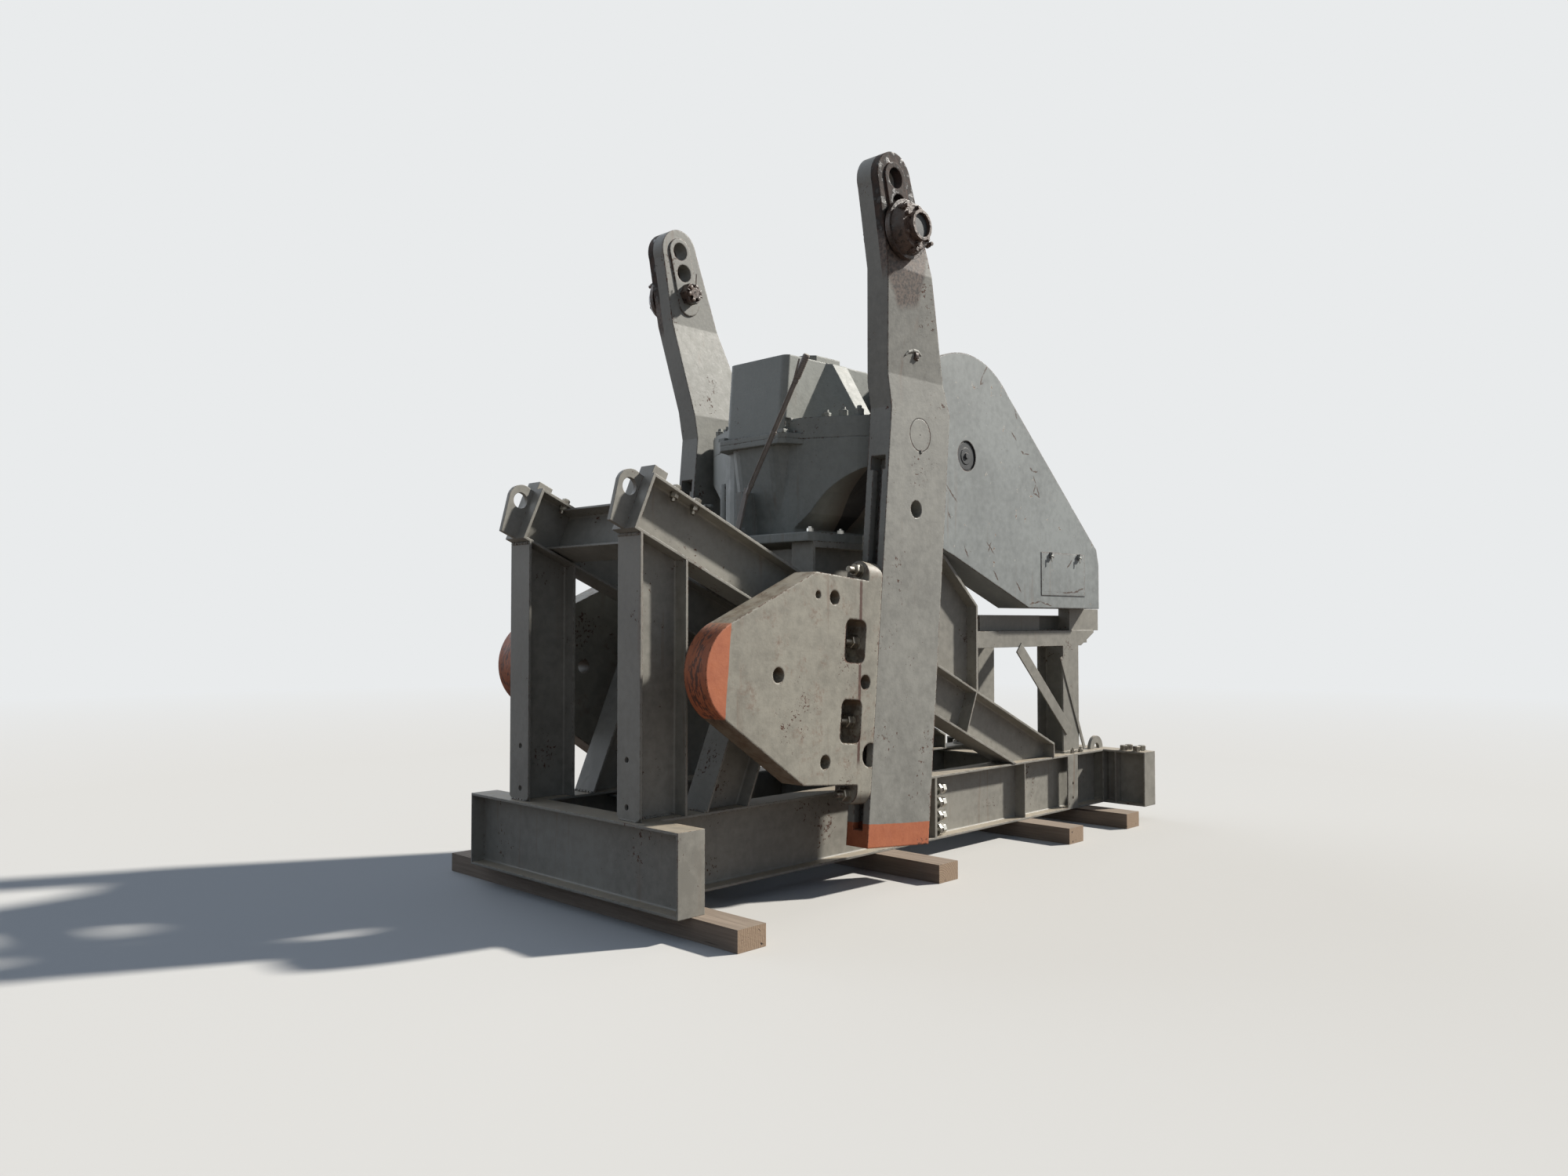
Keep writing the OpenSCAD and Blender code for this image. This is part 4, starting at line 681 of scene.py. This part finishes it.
# Bolts on the ramp tops, where the missing samson post was clamped: heads above,
# nuts on their studs below the flange.
RAMP_FLANGE = 0.0172
RAMP_BOLTS_X = (-1.764, -1.611)
RAMP_BOLTS_Y = (0.611, 0.491)
for side, sign in SIDES:
    bm = bmesh.new()
    over = Vector((math.sin(RAMP), 0, math.cos(RAMP)))
    for y in RAMP_BOLTS_Y:
        for x in RAMP_BOLTS_X:
            top = Vector((x, sign * y, ramp_top(x)))
            hex_fastener(bm, top, over, 0.046, 0.028, turn=x * 5)
            hex_fastener(bm, top - over * RAMP_FLANGE, -over, 0.046, 0.026, stud=0.020, turn=x * 3)
    place_piece(side + "_ramp_bolts", bm, bolt_steel, "base")

# Gear case cover: a copy of the casting whose humps are planed down to the slanting
# front and rear faces that leave a rib 150 mm wide over the shaft.
HIP = (0.075, 0.322, 3.509)  # a point on the slanting face, and how the face is turned
HIP_SLOPE = (0.664, 0.639, 0.387)
# each ledge: the inner points of its outline, its bottom and its top
LEDGE_REST = ((0.4255, 0.400), (0.3855, 0.480), (0.3455, 0.560), (0.3255, 0.600), (0.515, 0.600))
LEDGES = ((((0.515, 0.2702), (0.4705, 0.2702), (0.4555, 0.330)), 2.9745, 3.0808),
          (((0.515, 0.3455), (0.5005, 0.3455), (0.4360, 0.3785)), 2.9300, 2.9750))
cover_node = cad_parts["gear_case_cover"]
cover = bpy.data.objects.new("gear_case_cover_casting", cover_node.data.copy())
bpy.context.collection.objects.link(cover)


def plane_off(bm):
    bmesh.ops.recalc_face_normals(bm, faces=bm.faces)
    mesh = bpy.data.meshes.new("planed_off")
    bm.to_mesh(mesh)
    bm.free()
    tool = bpy.data.objects.new("planed_off", mesh)
    bpy.context.collection.objects.link(tool)
    less = cover.modifiers.new("plane", "BOOLEAN")
    less.operation, less.solver, less.object = "DIFFERENCE", "EXACT", tool


def corner(point, sx, sy):
    return Vector((sx * point[0], sy * point[1], point[2]))


for sx in (-1, 1):
    for sy in (-1, 1):
        bm = bmesh.new()
        block = Matrix.Translation(corner((0.35, 0.4852, 3.3305), sx, sy))
        bmesh.ops.create_cube(bm, size=1.0, matrix=block @ Matrix.Diagonal((0.70, 0.40, 0.50, 1.0)))
        bmesh.ops.bisect_plane(bm, geom=bm.verts[:] + bm.edges[:] + bm.faces[:], dist=1e-6, clear_inner=True,
                               plane_co=corner(HIP, sx, sy), plane_no=corner(HIP_SLOPE, sx, sy))
        bmesh.ops.holes_fill(bm, edges=[e for e in bm.edges if e.is_boundary], sides=0)
        plane_off(bm)
        # the ledge in front of the cap goes too, outside the split flange
        for inner, z0, z1 in LEDGES:
            bm = bmesh.new()
            base = bm.faces.new([bm.verts.new(corner((x, y, z0), sx, sy)) for x, y in inner + LEDGE_REST])
            raised = bmesh.ops.extrude_face_region(bm, geom=[base])["geom"]
            bmesh.ops.translate(bm, vec=(0, 0, z1 - z0),
                                verts=[v for v in raised if isinstance(v, bmesh.types.BMVert)])
            plane_off(bm)
planed = bpy.data.meshes.new_from_object(cover.evaluated_get(bpy.context.evaluated_depsgraph_get()))
for less in list(cover.modifiers):
    bpy.data.objects.remove(less.object)
cover.modifiers.clear()
cover.data = planed
cover.data.materials.clear()
cover.data.materials.append(case_enamel)
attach(cover, "base")
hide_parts("gear_case_cover")

# Gear case fasteners: screws in the split flange, six large cap nuts on each bearing,
# foot bolts, screws round the bearing covers, and the brake strap with its eye.
SPLIT_TOP = 2.974
CAP_TOP = 3.080
FOOT_TOP = 2.280
COVER_FACE_Y = 0.385
MIDDLE_SHAFT_X = 0.600
FAST_SHAFT_X = 1.013
FLANGE_SCREWS = ((-0.47, 0.325), (-0.385, 0.365), (0.34, 0.312), (0.84, 0.312), (1.22, 0.312))
CAP_NUTS = ((0.250, 0.42), (0.250, 0.575), (0.220, 0.69))
FOOT_BOLTS_X = (-0.60, -0.30, 0.20, 0.50)
FOOT_BOLTS_Y = 0.590
bm = bmesh.new()
for sign in (-1, 1):
    for x, y in FLANGE_SCREWS:
        hex_fastener(bm, (x, sign * y, SPLIT_TOP), (0, 0, 1), 0.030, 0.016, turn=x)
    for x, y in CAP_NUTS:
        for side in (-1, 1):
            hex_fastener(bm, (side * x, sign * y, CAP_TOP), (0, 0, 1), 0.056, 0.046, stud=0.020, turn=y * 9)
    hex_fastener(bm, (1.312, sign * 0.12, SPLIT_TOP), (0, 0, 1), 0.032, 0.022, stud=0.012)
place_piece("gear_case_bolts", bm, case_enamel, "base")

bm = bmesh.new()
for sign in (-1, 1):
    for x in FOOT_BOLTS_X:
        hex_fastener(bm, (x, sign * FOOT_BOLTS_Y, FOOT_TOP), (0, 0, 1), 0.040, 0.024, stud=0.010, turn=x * 4)
place_piece("gear_case_foot_bolts", bm, bright_zinc, "base")

bm = bmesh.new()
# both ends of the middle shaft, and the far end of the fast shaft
for x, sign, ring in ((MIDDLE_SHAFT_X, -1, 0.150), (MIDDLE_SHAFT_X, 1, 0.150), (FAST_SHAFT_X, 1, 0.105)):
    for i in range(8):
        a = math.tau * (i + 0.5) / 8
        hex_fastener(bm, (x + ring * math.cos(a), sign * COVER_FACE_Y, SHAFT_Z + ring * math.sin(a)),
                     (0, sign, 0), 0.024, 0.013, turn=a)
# the strap on the front wall of the case, its eye and the pin through it
STRAP_X = -0.600
plate(bm, (STRAP_X, 0.246, 2.515), (1, 0, 0), (0.050, 0.300, 0.009))
plate(bm, (STRAP_X, 0.405, 2.522), (1, 0, 0), (0.080, 0.020, 0.030))
rod(bm, (-0.630, 0.405, 2.524), (-0.585, 0.405, 2.524), 0.010)
place_piece("gear_case_fittings", bm, case_enamel, "base")

# Belt guard hardware: two bent latches over the door, and the turned hub of the
# driven sheave behind the inspection hole.
LATCHES_X = (2.166, 2.612)
LATCH_Y = -0.7240
HUB_STEPS = ((0.150, 0.670, 0.681), (0.106, 0.681, 0.684), (0.064, 0.684, 0.688))  # radius, back, front
SHAFT_END_Y = 0.700
bm = bmesh.new()
for x in LATCHES_X:
    for at, size in (((x, LATCH_Y, 2.234), (0.034, 0.016, 0.006)),
                     ((x - 0.011, LATCH_Y, 2.212), (0.012, 0.050, 0.006))):
        plate(bm, at, (0, 1, 0), size, bevel=0.0015)
place_piece("guard_latches", bm, bright_zinc, "base")

bm = bmesh.new()
hub = Vector((FAST_SHAFT_X, 0.0, SHAFT_Z))
for radius, y0, y1 in HUB_STEPS:
    rod(bm, hub + Vector((0, -y0, 0)), hub + Vector((0, -y1, 0)), radius, 64, radius - 0.002)
rod(bm, hub + Vector((0, -HUB_STEPS[-1][2], 0)), hub + Vector((0, -SHAFT_END_Y, 0)), 0.024, 24, 0.021)
# the hub wears the sheave enamel, whose dark tone is partly painted shade
place_piece("sheave_hub_face", bm, sheave_enamel_and_painted_shade, "fast_shaft")

# Counterweight bolts: two long studs through the ears and two in the pockets;
# their nuts pull the casting against the T-slot edge of the crank.
WEIGHT_DOWN = 1.663  # from the shaft to the middle of the casting
# how far each stud is from there along the arm, and its nut from the edge of the arm
STUDS = ((-0.702, 0.1333), (0.702, 0.1333), (-0.248, 0.133), (0.248, 0.133))
lean, down = Vector(ARM_SIDE), Vector(ARM_DOWN)
for side, sign in SIDES:
    bm = bmesh.new()
    for v, u in STUDS:
        at = Vector((0, sign * WEB_Y, SHAFT_Z)) + down * (WEIGHT_DOWN + v) + lean * (ARM_EDGE + u)
        hex_fastener(bm, at, lean, 0.075, 0.042, stud=0.05)
    place_piece(side + "_counterweight_nuts", bm, bolt_steel, "crank_set")

# Castle nuts of the crank pins, each with six prongs and a split pin, and on the outer
# side of the crank the cast hook lug with its clasp and the plug in the shaft joint.
PIN_REACH = 1.308  # from the shaft to the hole that the pin sits in
PIN_NUT_Y = 0.874
PRONG_RING = 0.053
LUG_Y = 1.053
LUG_ARCH = ((-0.186, 3.438, 0.006), (-0.154, 3.465, 0.011), (-0.104, 3.481, 0.015), (-0.060, 3.479, 0.015),
            (-0.020, 3.463, 0.007))  # x, z and radius along the hook
PLUG_STEPS = ((1.031, 1.0355, 0.015, 24), (1.0350, 1.0385, 0.008, 20))
PIN_CENTRE = Vector((0, 0, SHAFT_Z)) + Vector(PIN_UP) * PIN_REACH
for side, sign in SIDES:
    bm = bmesh.new()
    for i in range(6):
        a = math.tau * i / 6 + 0.26
        at = PIN_CENTRE + Vector((PRONG_RING * math.cos(a), sign * 0.8755, PRONG_RING * math.sin(a)))
        plate(bm, at, (math.cos(a), 0, math.sin(a)), (0.022, 0.030, 0.024), bevel=0.003)
    for (x0, z0), (x1, z1), radius in (((-0.075, 0.02), (0.075, -0.02), 0.005),
                                       ((0.012, 0.06), (0.016, 0.15), 0.004)):
        rod(bm, PIN_CENTRE + Vector((x0, sign * PIN_NUT_Y, z0)),
            PIN_CENTRE + Vector((x1, sign * PIN_NUT_Y, z1)), radius, 10)
    place_piece(side + "_castle_nut", bm, greasy_iron, "crank_set")
    bm = bmesh.new()
    for (x0, z0, r0), (x1, z1, r1) in zip(LUG_ARCH, LUG_ARCH[1:]):
        rod(bm, (x0, sign * LUG_Y, z0), (x1, sign * LUG_Y, z1), r0, 16, r1)
        bmesh.ops.create_uvsphere(bm, u_segments=16, v_segments=10, radius=r1,
                                  matrix=Matrix.Translation((x1, sign * LUG_Y, z1)))
    place_piece(side + "_hook_lug", bm, crank_enamel, "crank_set")
    bm = bmesh.new()
    plate(bm, (-0.074, sign * 1.058, 3.452), (0, sign, 0), (0.034, 0.040, 0.022), bevel=0.004)
    rod(bm, (-0.094, sign * 1.056, 3.436), (-0.058, sign * 1.056, 3.424), 0.008, 16)
    place_piece(side + "_hook_clasp", bm, greasy_iron, "crank_set")
    bm = bmesh.new()
    for y0, y1, radius, segments in PLUG_STEPS:
        rod(bm, (0.006, sign * y0, SHAFT_Z - SHAFT_RING), (0.006, sign * y1, SHAFT_Z - SHAFT_RING),
            radius, segments)
    place_piece(side + "_shaft_plug", bm, crank_enamel, "crank_set")

# Crank pin bearing housings: cap screws between the dome and the bore ring, the studs that stand out of the
# rim, all under bearing grease, and the grey disc in the bore, darkened as painted shade.
SCREW_RING, SCREW_Y = 0.118, 1.254
STUD_RING, STUD_Y = 0.156, 1.20
STUD_TURNS = (-0.557, -1.70, 2.4)
DISC_Y = (1.2725, 1.279)
for side, sign in SIDES:
    bm = bmesh.new()
    for i in range(6):
        a = math.tau * i / 6 + 0.5
        at = PIN_CENTRE + Vector((SCREW_RING * math.cos(a), sign * SCREW_Y, SCREW_RING * math.sin(a)))
        hex_fastener(bm, at, (0, sign, 0), 0.024, 0.014, turn=a)
    for a in STUD_TURNS:
        at = PIN_CENTRE + Vector((STUD_RING * math.cos(a), sign * STUD_Y, STUD_RING * math.sin(a)))
        rod(bm, at, at + Vector((0, sign * 0.075, 0)), 0.013, 16)
        hex_fastener(bm, at + Vector((0, sign * 0.030, 0)), (0, sign, 0), 0.034, 0.020, turn=a)
    place_piece(side + "_housing_bolts", bm, greasy_iron, side + "_housing")
    bm = bmesh.new()
    back, face = (PIN_CENTRE + Vector((0, sign * y, 0)) for y in DISC_Y)
    rod(bm, back, face, 0.0745, 48)
    place_piece(side + "_housing_disc", bm, sheave_enamel_and_painted_shade, side + "_housing")

# Brake lever: a wrapped grip on the end, a squeeze trigger with its thin rod
# down the lever, and clamped collars. Heights run up the lever from its pivot.
LEVER_LEAN = math.radians(32.7)
PIVOT = Vector((-0.64, -0.037, 2.566))
UP_LEVER = Vector((0.0, -math.sin(LEVER_LEAN), math.cos(LEVER_LEAN)))
TO_FRONT = Vector((-1.0, 0.0, 0.0))
COLLARS = (0.06, 0.46, 0.84)
GRIP_START, GRIP_PITCH, GRIP_WRAP = 0.876, 0.0145, 0.013
ROD_OFF, TRIGGER_OFF = 0.021, 0.050
ROD_ENDS, TRIGGER_TIP = (0.07, 0.86), 1.00


def on_lever(height, off=0.0):
    return PIVOT + UP_LEVER * height + TO_FRONT * off


bm = bmesh.new()
rod(bm, on_lever(0.012), on_lever(0.874), 0.0165, 20)
for i in range(11):
    start = GRIP_START + GRIP_PITCH * i
    rod(bm, on_lever(start), on_lever(start + GRIP_WRAP), 0.0240, 20, 0.0232)
for start in COLLARS:
    rod(bm, on_lever(start), on_lever(start + 0.024), 0.0200, 20)
rod(bm, on_lever(ROD_ENDS[0], ROD_OFF), on_lever(ROD_ENDS[1], ROD_OFF), 0.004, 10)
rod(bm, on_lever(ROD_ENDS[1], ROD_OFF), on_lever(TRIGGER_TIP, TRIGGER_OFF), 0.006, 10)
place_piece("lever_trigger", bm, lever_paint, "lever")
